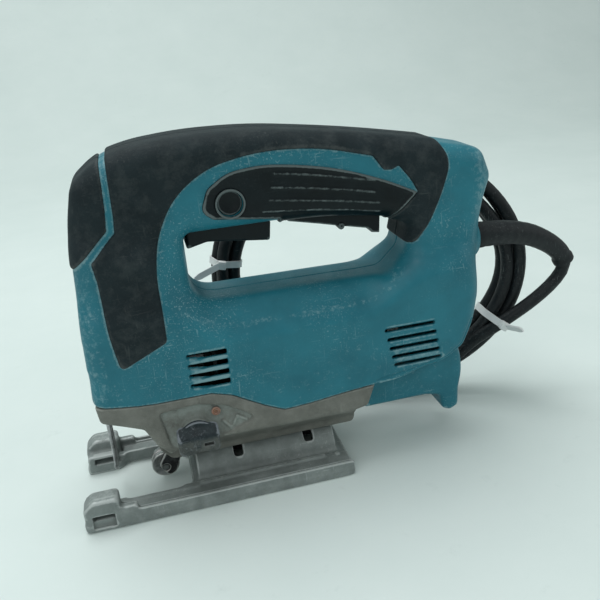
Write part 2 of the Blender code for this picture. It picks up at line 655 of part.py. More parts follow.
def motor():
    shaft = spindle("armature_shaft",
                    ((3.0, -84), (3.0, -74), (4.0, -73), (4.0, 56), (3.2, 57), (3.2, 66)),
                    (MOTOR_STATION, 0, MOTOR_HEIGHT), "X", "steel", 20)
    join(shaft, gear_wheel("pinion", (49.5, 60), MOTOR_HEIGHT, PINION_TEETH, PINION_RADIUS - 1.2, PINION_RADIUS))
    centre = (MOTOR_STATION, 0, MOTOR_HEIGHT)
    ring("armature_core", 4.3, 16.4, -19, 19, centre, "X", "laminations", 32)
    ring("commutator", 4.3, 10.5, 26, 40, centre, "X", "copper", 28)
    ring("motor_stator", 17.4, 21.7, -20, 20, centre, "X", "laminations", 36)
    fan()
    ring("front_bearing", 4.3, 9.0, -3, 3, (66.5, 0, MOTOR_HEIGHT), "X", "steel", 24)
    ring("rear_bearing", 3.5, 9.0, -3.5, 3.5, (MOTOR_STATION + 61, 0, MOTOR_HEIGHT), "X", "steel", 24)
    middle = MOTOR_STATION + 33
    for label, side in (("left", -1), ("right", 1)):
        box(f"brush_{label}", (middle - 3.5, middle + 3.5), sorted((side * 10.9, side * 24)), (75, 81), "carbon",
            0.5)
        holder = box(f"brush_holder_{label}", (middle - 7, middle + 7), sorted((side * 13, side * 25.5)),
                     (71, 85), "brass", 0.6)
        cut(holder, box(f"brush_way_{label}", (middle - 4, middle + 4), sorted((side * 8, side * 24.6)),
                        (74.5, 81.5)))


def fan():
    """A radial fan: a disc on a hub with straight blades."""
    disc = rod("cooling_fan", (84, 0, MOTOR_HEIGHT), (86, 0, MOTOR_HEIGHT), 21.5, "black_plastic", 32)
    join(disc, rod("fan_hub", (80, 0, MOTOR_HEIGHT), (93, 0, MOTOR_HEIGHT), 7.5))
    for i in range(8):
        turn = 2 * math.pi * i / 8
        blade = box(f"fan_blade_{i}", (HALF_LENGTH - 4.5, HALF_LENGTH + 4.5), (7, 21), (-0.7, 0.7))
        blade.data.transform(Matrix.Rotation(turn, 4, "X"))
        blade.data.transform(Matrix.Translation(place(89.5, 0, MOTOR_HEIGHT)))
        join(disc, blade)
    cut(disc, rod("fan_bore", (70, 0, MOTOR_HEIGHT), (99, 0, MOTOR_HEIGHT), 4.3, sides=20))
    return set_origin(disc, 86, 0, MOTOR_HEIGHT)


def plunger():
    spindle("plunger_rod", ((PLUNGER_RADIUS, 64), (PLUNGER_RADIUS, 171), (3.6, 172)), (PLUNGER_STATION, 0, 0),
            "Z", "steel", 20)
    yoke = box("plunger_yoke", (37, 41.5), (-19, 19), (PIN_HEIGHT - 7, PIN_HEIGHT + 7), "steel", 0.8)
    block = box("yoke_block", (PLUNGER_STATION - 7, 40), (-7, 7), (PIN_HEIGHT - 6, PIN_HEIGHT + 6), chamfer=0.8)
    join(yoke, block)
    cut(yoke,
        rod("yoke_bore", (PLUNGER_STATION, 0, PIN_HEIGHT - 9), (PLUNGER_STATION, 0, PIN_HEIGHT + 9),
            PLUNGER_RADIUS + 0.3, sides=24),
        box("yoke_slot_left", (39.8, 50), (-15.5, 15.5), (PIN_HEIGHT - 3.7, PIN_HEIGHT + 3.7)))
    for label, low, high in (("upper", 137, 147), ("lower", 66, 76)):
        ring(f"plunger_guide_{label}", PLUNGER_RADIUS + 0.3, 8.0, low, high, (PLUNGER_STATION, 0, 0), "Z",
             "brass", 24)
    holder = spindle("blade_holder", ((5.2, 49.5), (5.2, 63), (4.4, 63.6)), (PLUNGER_STATION, 0, 0), "Z",
                     "dark_steel", 20)
    slot = box("blade_slot", (PLUNGER_STATION - 3.6, PLUNGER_STATION + 3.6), (-0.9, 0.9), (46, 59))
    cut(holder, slot)
    sleeve = ring("clamp_sleeve", 5.5, 7.4, 51, 61.5, (PLUNGER_STATION, 0, 0), "Z", "dark_steel", 24)
    join(sleeve, box("clamp_lever", (PLUNGER_STATION - 1.6, PLUNGER_STATION + 1.6), (-8.2, -6.4), (52, 58)))


def roller():
    holder = prism("roller_holder", HOLDER_OUTLINE, (-7.8, 7.8), "dark_steel")
    cut(holder,
        rod("holder_roller_room", (ROLLER[0], -4.5, ROLLER[1]), (ROLLER[0], 4.5, ROLLER[1]), 10.2, sides=28),
        box("holder_open_front", (30, ROLLER[0]), (-4.5, 4.5), (0, 21)),
        rod("holder_pin_bore", (ROLLER[0], -9, ROLLER[1]), (ROLLER[0], 9, ROLLER[1]), 2.4, sides=16),
        rod("holder_pivot_bore", (HOLDER_PIVOT[0], -9, HOLDER_PIVOT[1]),
            (HOLDER_PIVOT[0], 9, HOLDER_PIVOT[1]), 2.5, sides=16))
    set_origin(holder, HOLDER_PIVOT[0], 0, HOLDER_PIVOT[1])
    rod("holder_pivot_pin", (HOLDER_PIVOT[0], -11.6, HOLDER_PIVOT[1]),
        (HOLDER_PIVOT[0], 11.6, HOLDER_PIVOT[1]), 2.0, "steel", 16)
    rod("roller_pin", (ROLLER[0], -7.6, ROLLER[1]), (ROLLER[0], 7.6, ROLLER[1]), 2.0, "steel", 16)
    wheel = ((ROLLER_RADIUS, 4.1), (ROLLER_RADIUS, 1.2), (ROLLER_RADIUS - 1.2, 0), (ROLLER_RADIUS, -1.2),
             (ROLLER_RADIUS, -4.1), (2.4, -4.1), (2.4, 4.1))
    turned("blade_roller", wheel, (ROLLER[0], 0, ROLLER[1]), "Y", "steel", 24)


def orbital_knob():
    """The pendulum-stroke selector: a round knob with a finger bar across it."""
    knob = rod("orbital_knob", (KNOB[0], -32.9, KNOB[1]), (KNOB[0], -38.2, KNOB[1]), KNOB_RADIUS, "knob_plastic",
               32)
    bar = box("knob_bar", (KNOB[0] - 11.2, KNOB[0] + 11.2), (-41.6, -36), (KNOB[1] - 4.2, KNOB[1] + 4.2),
              chamfer=1.6)
    join(knob, bar)
    cut(knob, box("knob_slot", (KNOB[0] + 3, KNOB[0] + 8), (-45, -40.4), (KNOB[1] - 1, KNOB[1] + 1)))
    set_origin(knob, KNOB[0], -36, KNOB[1])
    cam = rod("orbital_shaft", (KNOB[0], -32.6, KNOB[1]), (KNOB[0], -9.2, KNOB[1]), 3.5, "steel", 20)
    set_origin(cam, KNOB[0], -20, KNOB[1])


# Controls, wire, screws.


def controls():
    trigger = prism("trigger", TRIGGER_OUTLINE, (-9.2, 9.2), "black_plastic")
    bevel = trigger.modifiers.new("soft_edge", "BEVEL")
    bevel.width = 0.8 * MM
    bevel.segments = 1
    bevel.limit_method = "ANGLE"
    bevel.angle_limit = math.radians(50)
    set_origin(trigger, TRIGGER_PIVOT[0], 0, TRIGGER_PIVOT[1])
    box("switch_body", (84, 142), (-8.5, 8.5), (170.5, 188), "black_plastic", 1.0)
    spindle("lock_button", ((LOCK_RADIUS - 0.6, -21.0), (LOCK_RADIUS, -20.4), (LOCK_RADIUS, -13.5)),
            (LOCK[0], 0, LOCK[1]), "Y", "black_plastic", 28)
    ring("lock_bezel", 6.9, 9.0, -23.4, -21.8, (LOCK[0], 0, LOCK[1]), "Y", "knob_plastic", 32)
    trim = prism("grip_underside_trim", TRIM_OUTLINE, (-6, 6), "black_plastic")
    join(trim, rod("trim_nub", (167.3, -7.2, 145.2), (167.3, 7.2, 145.2), 1.9, sides=12))


def guard_wire():
    """A steel loop in front of the blade: two legs joined by a bend."""
    route = [(20.0, -4.5, 64.5), (20.0, -4.5, 30), (19.6, -4.5, 19.5)]
    for k in range(7):
        turn = math.pi * k / 6
        route.append((19.4, -4.5 * math.cos(turn), 18.5 - 3.0 * math.sin(turn)))
    route += [(19.6, 4.5, 19.5), (20.0, 4.5, 30), (20.0, 4.5, 64.5)]
    tube("blade_guard_wire", route, 1.25, "steel", 2)


def screws():
    for i, (station, z, reach) in enumerate(SCREWS):
        spindle(f"housing_screw_{i + 1}",
                ((1.5, -10), (1.5, reach + 0.3), (3.3, reach + 0.4), (3.3, reach + 2.2), (2.6, reach + 2.8)),
                (station, 0, z), "Y", "dark_steel", 12)
    spindle("side_screw", ((2.4, -30.6), (2.6, -30.2), (2.6, -29.3)), (81, 0, 57), "Y", "brass", 16)


# The cord, its sleeve, the standing coil and the plug.


def coil_frame():
    """The coil's centre, the way along its width and the way up its leaning plane."""
    along = Vector((math.cos(COIL_YAW), math.sin(COIL_YAW), 0))
    across = Vector((-math.sin(COIL_YAW), math.cos(COIL_YAW), 0))
    up = -math.sin(COIL_LEAN) * across + Vector((0, 0, math.cos(COIL_LEAN)))
    height = (COIL_TALL + COIL_BUNDLE) * math.cos(COIL_LEAN) + 1.0
    return Vector((*COIL_CENTRE, height)), along, up


def coil_point(turn):
    centre, along, up = coil_frame()
    return centre + COIL_WIDE * math.cos(turn) * along + COIL_TALL * math.sin(turn) * up


def cord_coil():
    """The envelope of the tied turns: a round section swept once round an oval."""
    centre, along, up = coil_frame()
    mean = (COIL_WIDE + COIL_TALL) / 2
    bm = bmesh.new()
    section = []
    for k in range(8):
        turn = 2 * math.pi * (k + 0.5) / 8
        section.append(bm.verts.new((mean + COIL_BUNDLE * math.cos(turn), 0, COIL_BUNDLE * math.sin(turn))))
    edges = [bm.edges.new((section[k - 1], section[k])) for k in range(8)]
    bmesh.ops.spin(bm, geom=section + edges, cent=(0, 0, 0), axis=(0, 0, 1), angle=2 * math.pi, steps=36,
                   use_merge=True)
    away = along.cross(up)
    for vert in bm.verts:
        turn = math.atan2(vert.co.y, vert.co.x)
        out = math.hypot(vert.co.x, vert.co.y) - mean
        spoke = Vector((COIL_TALL * math.cos(turn), COIL_WIDE * math.sin(turn))).normalized()
        spot = coil_point(turn) + out * (spoke.x * along + spoke.y * up) + vert.co.z * away
        vert.co = place(*spot)
    return from_bmesh("cord_coil", bm, "cable_rubber")


def cable_tie(name, turn):
    """A nylon band round the turns."""
    spot = coil_point(turn)
    step = coil_point(turn + 0.01) - coil_point(turn - 0.01)
    band = ring(name, COIL_BUNDLE + 0.7, COIL_BUNDLE + 1.9, -2.3, 2.3, (0, 0, 0), "Z", "white_nylon", 20)
    band.rotation_euler = step.to_track_quat("Z", "Y").to_euler()
    band.location = place(*spot)


GUARD_ROUTE = ((243, 0, 124.5), (252, 0, 124.5), (266, 0.5, 124), (280, 2, 121.5), (293, 4, 116.5),
               (304, 6.5, 109.5), (311, 8.5, 103.5))
LEAD_ROUTE = ((313.5, 9.3, 101.0), (318, 10.5, 94), (316.5, 10.8, 85.5), (309, 11.2, 77), (299, 11.8, 68.5),
              (289, 12.6, 60.5))
TAIL_ROUTE = ((172, 73, 4.9), (158, 76, 4.9), (144, 81, 4.9), (130, 87, 4.9), (117, 90.7, 7.5), (108, 91, 10.6),
              (101.8, 91, 11))
PLUG_FRONT = 100.6
PLUG_Y = 91.0
PLUG_Z = 11.0


def cord():
    guard = smooth_line(GUARD_ROUTE, 6.0)
    slim = [GUARD_RADIUS - 0.2 - 2.0 * k / (len(guard) - 1) for k in range(len(guard))]
    tube("cord_guard", guard, GUARD_RADIUS, "cable_rubber", 4, slim)
    tube("cord_lead", smooth_line(LEAD_ROUTE, 9.0), CORD_RADIUS, "cable_rubber", 3)
    tube("cord_tail", smooth_line(TAIL_ROUTE, 9.0), CORD_RADIUS, "cable_rubber", 3)
    cord_coil()
    cable_tie("cable_tie_rear", math.radians(-28))
    cable_tie("cable_tie_front", math.radians(163))
    plug()


def plug():
    spindle("plug_body", ((4.9, 0), (6.5, 3), (8.0, 14), (10.5, 20), (10.5, 36), (9.5, 37)),
            (PLUG_FRONT, PLUG_Y, PLUG_Z), "X", "cable_rubber", 24).rotation_euler = (0, -math.pi / 2, 0)
    for label, offset in (("a", -9.5), ("b", 9.5)):
        start = (PLUG_FRONT - 37.3, PLUG_Y + offset * 0.7, PLUG_Z)
        end = (PLUG_FRONT - 56, PLUG_Y + offset * 0.7, PLUG_Z)
        rod(f"plug_pin_{label}", start, end, 2.4, "brass", 16)


def main():
    for obj in list(bpy.data.objects):
        bpy.data.objects.remove(obj, do_unlink=True)
    bpy.context.scene.collection.children.link(tool)
    bpy.context.scene.collection.children.link(cutters)
    housing("left_housing", -1)
    housing("right_housing", 1)
    coverings()
    gear_housing()
    base_plate()
    base_bolts()
    drive_gear()
    motor()
    plunger()
    roller()
    orbital_knob()
    controls()
    guard_wire()
    screws()
    cord()


main()
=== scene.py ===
"""The looks of the corded jigsaw: moulded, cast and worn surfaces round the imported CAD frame.

Lengths in the outlines and fields are millimetres. Stations along the tool are measured back from the base's
front edge, as in the CAD, and turn into the frame's metres as each mesh is made.
"""
import math

import bmesh
import bpy
import numpy as np
from mathutils import Matrix, Vector


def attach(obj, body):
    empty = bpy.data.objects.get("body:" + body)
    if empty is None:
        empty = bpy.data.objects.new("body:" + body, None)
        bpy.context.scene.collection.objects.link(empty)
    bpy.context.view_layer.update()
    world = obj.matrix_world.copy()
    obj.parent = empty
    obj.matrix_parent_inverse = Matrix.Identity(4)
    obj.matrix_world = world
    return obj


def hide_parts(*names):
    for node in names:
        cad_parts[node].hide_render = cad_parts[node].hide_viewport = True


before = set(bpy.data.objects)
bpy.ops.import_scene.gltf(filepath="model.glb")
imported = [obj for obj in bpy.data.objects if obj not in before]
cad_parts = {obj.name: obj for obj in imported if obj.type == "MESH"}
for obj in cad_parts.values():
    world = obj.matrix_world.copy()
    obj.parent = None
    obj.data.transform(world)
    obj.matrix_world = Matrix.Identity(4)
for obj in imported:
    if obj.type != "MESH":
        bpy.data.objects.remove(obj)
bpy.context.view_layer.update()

MM = 0.001
HALF_LENGTH = 126.0
BODY_HALF = 31.0
COLUMN_HALF = 27.0
HANDLE_HALF = 21.5
TAIL_HALF = 17.0
WALL = 2.6
SEAM = 0.15
RUBBER_LIFT = 1.5
NOSE_LIFT = 1.1
CORD_HEIGHT = 124.5
KNOB = (69.0, 46.0)
ROLLER = (48.0, 12.0)
LOCK = (104.2, 170.6)
TILT_HEIGHT = 4.0
BOLT_STATIONS = (92.0, 136.0)
FORM_STEP = 0.6
GENTLE = math.radians(150)
VIEW_PLACE = (-0.06584, -0.37092, 0.25778)
VIEW_TURNS = (0.21488439, 0.38924149, -0.08853161)
FOCAL_SHARE = 693.77138 / 600

# Outlines are (station, height, corner radius), anticlockwise as seen with the front to the left.
UPPER_OUTLINE = (
    (17, 100, 10), (170, 96, 4), (243, 92, 8), (246.5, 118, 8), (250, 148, 10), (255.5, 165, 10),
    (249.5, 181, 10), (226, 187, 14), (176, 197, 60), (122, 204.8, 60), (85, 205.8, 40), (58, 203.5, 24),
    (41, 199, 12), (27.5, 188.5, 14), (21.5, 165, 40),
)
HANDLE_HOLE = (
    (78.6, 117.9, 15), (160, 116.8, 4), (190, 116.2, 10), (201.5, 127, 8), (205.5, 144, 6), (192, 149.6, 10),
    (173, 152.8, 30), (153, 155.2, 30), (130, 155.8, 20), (78.6, 156, 5),
)
SEAM_LINE = (
    (30, 70.4, 10), (45, 68.5, 10), (80, 68.4, 6), (91.2, 64.9, 6), (100.2, 59.4, 6), (109.4, 54.0, 6),
    (120, 49.0, 6), (136, 49.8, 10), (156, 52.2, 10),
)
SEAM_TRACE = ((16, 72.4), *[corner[:2] for corner in SEAM_LINE], (177, 53.8), (196, 57), (216, 60))
MOTOR_TOP = (
    (205, 55.6, 14), (221, 57.2, 12), (234, 66.5, 12), (241, 83, 14), (243, 104, 12), (238, 126, 14),
    (202, 122, 16), (176, 105, 18), (92, 104, 18), (66, 122, 18), (20, 126, 10),
)
MOTOR_OUTLINE = ((16.2, 72.6, 4), *SEAM_LINE, (176.8, 53.8, 3), *MOTOR_TOP)
MOTOR_ROUND = ((14.5, 54, 4), (90, 50, 6), (120, 36, 6), (176, 42, 3), *MOTOR_TOP)
COLUMN_OUTLINE = (
    (17, 90, 4), (70, 90, 4), (72, 116, 18), (64, 154, 14), (22.5, 161, 10), (18, 112, 40),
)
TAIL_OUTLINE = (
    (177.2, 66, 2), (176.6, 53, 2), (171.8, 41, 3), (172.2, 29.6, 2), (213, 29.6, 8), (222.4, 27.6, 4),
    (224.6, 17.0, 4), (230, 15.0, 4), (235.8, 18.0, 3), (236.2, 31, 5), (238.4, 42, 10), (237.6, 54, 10),
    (234.5, 64, 8), (226, 74, 4),
)
CASTING_FOOT = (
    (18.6, 62.0, 4), (30, 57.5, 5), (40.5, 53.0, 4), (46, 41.5, 3), (52.5, 34.2, 1.5), (57, 36.0, 2),
    (84, 38.5, 3), (158, 37.0, 3), (170.8, 39.6, 3),
)
CASTING_OUTLINE = ((17, 72.3, 1), *CASTING_FOOT, (175.9, 53.5, 1), *SEAM_LINE[::-1])
CASTING_ROUND = ((16, 90, 1), *CASTING_FOOT, (180.5, 66, 1), (170, 90, 2))
KEEL_OUTLINE = (
    (44, 43, 2), (46.5, 27, 6), (53, 19.5, 5), (62, 19.5, 2), (166, 19.5, 3), (169.5, 43, 2),
)
COVER_REGION = (
    (30.6, 151.5, 1), (31.8, 141, 4), (32.4, 112, 20), (35.2, 92.2, 3), (61, 104.3, 3), (61.4, 120, 20),
    (61.2, 140, 20), (64.9, 158, 20), (75.1, 177, 20), (94, 190.4, 24), (122, 195.6, 30), (153.8, 193.4, 30),
    (182.3, 185.6, 2), (188.3, 177.2, 3), (193.0, 176.9, 2), (196.9, 178.6, 1), (203.5, 170.5, 10),
    (207.6, 163, 0.5), (192.2, 148.7, 1), (191.3, 141.5, 6), (195, 133.6, 7), (205.8, 131.8, 7),
    (215, 145, 12), (222.5, 161.5, 16), (226.3, 174, 10), (225.5, 181, 8), (222.5, 188, 4), (219, 216, 2),
    (46.3, 216, 2), (45.2, 173.4, 20), (44.3, 164.2, 1),
)
NOSE_REGION = ((8, 148, 1), (21.5, 148.4, 1), (40.8, 165.2, 1), (42.3, 178, 20), (43.4, 216, 2), (8, 216, 1))
INLAY_REGION = (
    (88.8, 168.5, 6), (94.5, 163.6, 4), (108, 161.7, 4), (129.3, 158.3, 1.5), (131.5, 147, 1), (186, 138, 1),
    (191.8, 148.4, 1), (207.2, 162.9, 0.5), (188, 172.4, 20), (165, 180.9, 30), (143, 186, 30),
    (122, 188.7, 20), (104, 186.8, 14), (93, 179.5, 8),
)
TRIGGER_OUTLINE = (
    (79.5, 145.6, 1.5), (91, 148.2, 8), (125.6, 143.9, 1.5), (126.8, 154, 1), (125, 162, 3), (84, 162, 3),
    (79.5, 157, 2),
)
TRIM_OUTLINE = (
    (135, 156, 1), (137, 152.4, 1), (155, 148.2, 1), (166, 145.4, 1), (184.2, 141.2, 1), (185.4, 138.6, 0.5),
    (190.3, 137.8, 0.5), (191, 149.5, 1), (173, 155, 2), (150, 157.5, 2),
)
HOLDER_OUTLINE = (
    (49, 5.5, 3), (54, 8, 3), (60, 24, 6), (68.5, 44, 4), (64, 51, 4), (57, 48, 4), (50, 24, 6), (44, 14, 4),
)
PANEL_OUTLINE = (
    (49.8, 61.8, 3), (54.5, 38.5, 3), (80.5, 40.0, 3), (103.5, 48.2, 3), (86.0, 59.6, 4), (71, 63.2, 4),
)
BADGE_LINES = (((84.5, 49.5), (88.5, 44.0), (92.5, 51.0)), ((92.5, 51.0), (97.5, 47.5)))

# Screws that hold the halves: (station, height, how far out the head's seat is).
SCREWS = ((66.5, 139.0, 15.0), (100.0, 110.4, 15.0), (173.0, 110.4, 15.0), (226.0, 111.0, 24.8),
          (197.0, 42.0, 14.0))
FRONT_VENTS = (92.5, 86.5, 80.5, 74.5)
REAR_VENTS = (86.8, 80.6, 74.8, 69.2, 63.9)

# The cord: its sleeve, its lead, the turns of its coil and its tail.
CORD_RADIUS = 4.2
COIL_CENTRE = (199.0, 57.0)
COIL_WIDE = 94.5
COIL_TALL = 80.0
COIL_BUNDLE = 12.0
COIL_YAW = -0.28
COIL_LEAN = -0.10
COIL_FIRST = math.radians(-58)
COIL_LAST = math.radians(-98 - 4 * 360)
COIL_POINTS = 113
GUARD_ROUTE = ((243, 0, 124.5), (253, 0, 124.5), (263, 0.3, 124.3), (277, 1.2, 122.6), (292, 3, 118.4),
               (306, 5, 111), (316, 6.3, 103), (321, 7, 95.5))
LEAD_ROUTE = ((316, 6.3, 103), (321, 7, 95.5), (321.2, 8.4, 88.0), (315, 9.6, 79.0), (303.5, 11, 69.2),
              (290.5, 13, 60.3), (278, 17, 51.0), (266, 23.5, 40.5))
TAIL_ROUTE = ((172, 73, 4.9), (158, 76, 4.9), (144, 81, 4.9), (130, 87, 4.9), (117, 90.7, 7.5),
              (108, 91, 10.6), (101.8, 91, 11), (97, 91, 11))
TIE_POINTS = 56
TIE_HEAD_FACES = (-0.1, -1, 0.25)
PLUG_FRONT = 100.6
PLUG_Y = 91.0
PLUG_Z = 11.0


def to_world(places):
    """The frame's metres, from stations, distances across and heights in millimetres."""
    return (np.asarray(places) - np.array((HALF_LENGTH, 0, 0))) * MM


def linked(name, data):
    """A new object in the scene."""
    obj = bpy.data.objects.new(name, data)
    bpy.context.scene.collection.objects.link(obj)
    return obj


# The camera.


def camera():
    """The view's place, heading, tilt and roll."""
    heading, tilt, roll = VIEW_TURNS
    level = Vector((math.cos(heading), -math.sin(heading), 0))
    ahead = Vector((math.sin(heading), math.cos(heading), 0))
    forward = math.cos(tilt) * ahead - math.sin(tilt) * Vector((0, 0, 1))
    above = level.cross(forward)
    right = math.cos(roll) * level + math.sin(roll) * above
    up = -math.sin(roll) * level + math.cos(roll) * above
    data = bpy.data.cameras.new("view")
    data.sensor_width = 36.0
    data.lens = FOCAL_SHARE * data.sensor_width
    data.clip_start = 0.01
    data.clip_end = 50
    obj = linked("view", data)
    turn = Matrix((right, up, -forward)).transposed().to_4x4()
    obj.matrix_world = Matrix.Translation(VIEW_PLACE) @ turn
    bpy.context.scene.camera = obj
    bpy.context.scene.view_settings.view_transform = "Standard"


# Outlines and signed-distance fields.


def rounded(corners, steps=4):
    """Points round a polygon of (x, z, radius) corners; each radius becomes a short curve."""
    points = []
    for i, (x, z, radius) in enumerate(corners):
        here = Vector((x, z))
        back = Vector(corners[i - 1][:2]) - here
        ahead = Vector(corners[(i + 1) % len(corners)][:2]) - here
        reach = radius / math.tan(back.angle(ahead) / 2)
        if back.angle(ahead) > GENTLE and radius >= 10:
            reach = back.length
        reach = min(reach, 0.48 * back.length, 0.48 * ahead.length)
        start = here + back.normalized() * reach
        end = here + ahead.normalized() * reach
        for k in range(steps + 1):
            t = k / steps
            spot = (1 - t) ** 2 * start + 2 * t * (1 - t) * here + t * t * end
            points.append((spot.x, spot.y))
    return points


class Grid:
    """Evenly spaced places in a block, in stations, distances across and heights."""

    def __init__(self, low, high, step):
        self.low = low
        self.step = step
        axes = [a + step * np.arange(int((b - a) / step) + 2, dtype=np.float32) for a, b in zip(low, high)]
        self.x = axes[0][:, None, None]
        self.y = axes[1][None, :, None]
        self.z = axes[2][None, None, :]

    def outline(self, corners, steps=10):
        """Distance to an outline in the side view, negative inside."""
        return flat_distance(self.x, self.z, rounded(corners, steps))

    def plan(self, corners, steps=4):
        """Distance to an outline seen from above."""
        return flat_distance(self.x, self.y, rounded(corners, steps))

    def block(self, xs, ys, zs, rounding=0.0):
        return box_distance((self.x, self.y, self.z), (xs, ys, zs), rounding)

    def beam(self, xs, ys, zs, rounding=0.0):
        """A block and its mirror image beyond the mid-plane."""
        return box_distance((self.x, np.abs(self.y), self.z), (xs, ys, zs), rounding)

    def rod(self, axis, centre, radius, span, rounding=0.0):
        """A cylinder along x, y or z; centre is the other two coordinates."""
        others = {"x": (self.y, self.z), "y": (self.x, self.z), "z": (self.x, self.y)}[axis]
        along = {"x": self.x, "y": self.y, "z": self.z}[axis]
        across = np.hypot(others[0] - centre[0], others[1] - centre[1]) - radius
        ends = np.abs(along - (span[0] + span[1]) / 2) - abs(span[1] - span[0]) / 2
        return rounded_meet(across, ends, rounding)


def box_distance(axes, spans, rounding):
    parts = [np.abs(axis - (a + b) / 2) - (b - a) / 2 + rounding for axis, (a, b) in zip(axes, spans)]
    outside = np.sqrt(sum(np.maximum(part, 0) ** 2 for part in parts))
    inside = np.minimum(np.maximum(np.maximum(parts[0], parts[1]), parts[2]), 0)
    return outside + inside - rounding


def flat_distance(u, v, points):
    """Distance to a closed line of points, negative inside."""
    best = np.full(np.broadcast(u, v).shape, 1e9, np.float32)
    inside = np.zeros(best.shape, bool)
    for (ax, av), (bx, bv) in zip(points, points[1:] + points[:1]):
        du, dv = bx - ax, bv - av
        reach = du * du + dv * dv
        if reach < 1e-9:
            continue
        t = np.clip(((u - ax) * du + (v - av) * dv) / reach, 0, 1)
        best = np.minimum(best, (u - ax - t * du) ** 2 + (v - av - t * dv) ** 2)
        if abs(dv) > 1e-9:
            inside ^= ((av > v) != (bv > v)) & (u < ax + (v - av) / dv * du)
    best = np.sqrt(best)
    return np.where(inside, -best, best)


def line_distance(u, v, points):
    """Distance to an open line of points."""
    best = np.full(np.broadcast(u, v).shape, 1e9, np.float32)
    for (ax, av), (bx, bv) in zip(points, points[1:]):
        du, dv = bx - ax, bv - av
        t = np.clip(((u - ax) * du + (v - av) * dv) / (du * du + dv * dv), 0, 1)
        best = np.minimum(best, (u - ax - t * du) ** 2 + (v - av - t * dv) ** 2)
    return np.sqrt(best)


def rounded_meet(a, b, rounding):
    """Where two fields meet, with the edge between them rounded."""
    a = a + rounding
    b = b + rounding
    return np.hypot(np.maximum(a, 0), np.maximum(b, 0)) + np.minimum(np.maximum(a, b), 0) - rounding


def blend_join(a, b, reach):
    """Two fields joined, with a fillet between them."""
    share = np.clip(0.5 + 0.5 * (b - a) / reach, 0, 1)
    return b + (a - b) * share - reach * share * (1 - share)


def blend_meet(a, b, reach):
    """Where two fields meet, with the edge between them softened."""
    return -blend_join(-a, -b, reach)


def remove(a, b, reach=0.0):
    """The first field less the second."""
    return blend_meet(a, -b, reach) if reach else np.maximum(a, -b)


# Meshes from fields.

CORNERS = [(i, j, k) for i in (0, 1) for j in (0, 1) for k in (0, 1)]
EDGES = [(a, b) for a in range(8) for b in range(a + 1, 8)
         if sum(abs(p - q) for p, q in zip(CORNERS[a], CORNERS[b])) == 1]
# Shares of the way to the neighbours' middle: the smoothing steps out again, so that nothing shrinks.
SPACING = (0.55, 0.55)
SMOOTHING = (0.55, -0.57) * 9


def level_mesh(field, grid):
    """Vertices in stations and quads on the field's zero level, one vertex to a crossed cell."""
    inside = field < 0
    small = inside.astype(np.int8)
    nx, ny, nz = field.shape
    count = np.zeros((nx - 1, ny - 1, nz - 1), np.int8)
    for i, j, k in CORNERS:
        count += small[i:nx - 1 + i, j:ny - 1 + j, k:nz - 1 + k]
    crossed = (count > 0) & (count < 8)
    cells = np.argwhere(crossed)
    index = np.full(crossed.shape, -1, np.int32)
    index[crossed] = np.arange(len(cells), dtype=np.int32)
    values = [field[cells[:, 0] + i, cells[:, 1] + j, cells[:, 2] + k] for i, j, k in CORNERS]
    total = np.zeros((len(cells), 3), np.float32)
    hits = np.zeros(len(cells), np.float32)
    for a, b in EDGES:
        cut = (values[a] < 0) != (values[b] < 0)
        share = np.where(cut, values[a] / np.where(cut, values[a] - values[b], 1), 0)
        start = np.array(CORNERS[a], np.float32)
        step = np.array(CORNERS[b], np.float32) - start
        total += (start + share[:, None] * step) * cut[:, None]
        hits += cut
    spots = cells + total / hits[:, None]
    quads = []
    for axis in range(3):
        lower = [slice(1, n - 1) for n in field.shape]
        upper = list(lower)
        lower[axis] = slice(0, field.shape[axis] - 1)
        upper[axis] = slice(1, field.shape[axis])
        first = inside[tuple(lower)]
        change = np.argwhere(first != inside[tuple(upper)])
        solid_first = first[change[:, 0], change[:, 1], change[:, 2]]
        b, c = [(axis + 1) % 3, (axis + 2) % 3]
        at = change.copy()
        at[:, b] += 1
        at[:, c] += 1
        ring = []
        for db, dc in ((-1, -1), (0, -1), (0, 0), (-1, 0)):
            cell = at.copy()
            cell[:, b] += db
            cell[:, c] += dc
            ring.append(index[cell[:, 0], cell[:, 1], cell[:, 2]])
        ring = np.stack(ring, 1)
        ring[~solid_first] = ring[~solid_first][:, ::-1]
        quads.append(ring)
    quads = np.concatenate(quads)
    spots = toward_neighbours(settle(field, spots, 2), quads, SPACING)
    spots = toward_neighbours(settle(field, spots), quads, SMOOTHING)
    return np.array(grid.low, np.float32) + grid.step * spots, quads, cells


def sample(field, spots):
    """The field's value and slope at places given in cells."""
    base = np.clip(spots.astype(np.int32), 0, np.array(field.shape) - 2)
    share = (spots - base).astype(np.float32)
    value = np.zeros(len(spots), np.float32)
    slope = np.zeros((len(spots), 3), np.float32)
    for corner in CORNERS:
        here = field[base[:, 0] + corner[0], base[:, 1] + corner[1], base[:, 2] + corner[2]]
        parts = [share[:, a] if corner[a] else 1 - share[:, a] for a in range(3)]
        value += here * parts[0] * parts[1] * parts[2]
        for a in range(3):
            others = parts[(a + 1) % 3] * parts[(a + 2) % 3]
            slope[:, a] += here * others * (1 if corner[a] else -1)
    return value, slope


def neighbours(quads, count):
    """A function that gives each vertex the mean of a number at the vertices beside it."""
    ends = np.concatenate([quads[:, [0, 1]], quads[:, [1, 2]], quads[:, [2, 3]], quads[:, [3, 0]]])
    number = np.maximum(np.bincount(ends[:, 0], minlength=count), 1)

    def mean(values):
        return np.bincount(ends[:, 0], values[ends[:, 1]], count) / number

    return mean


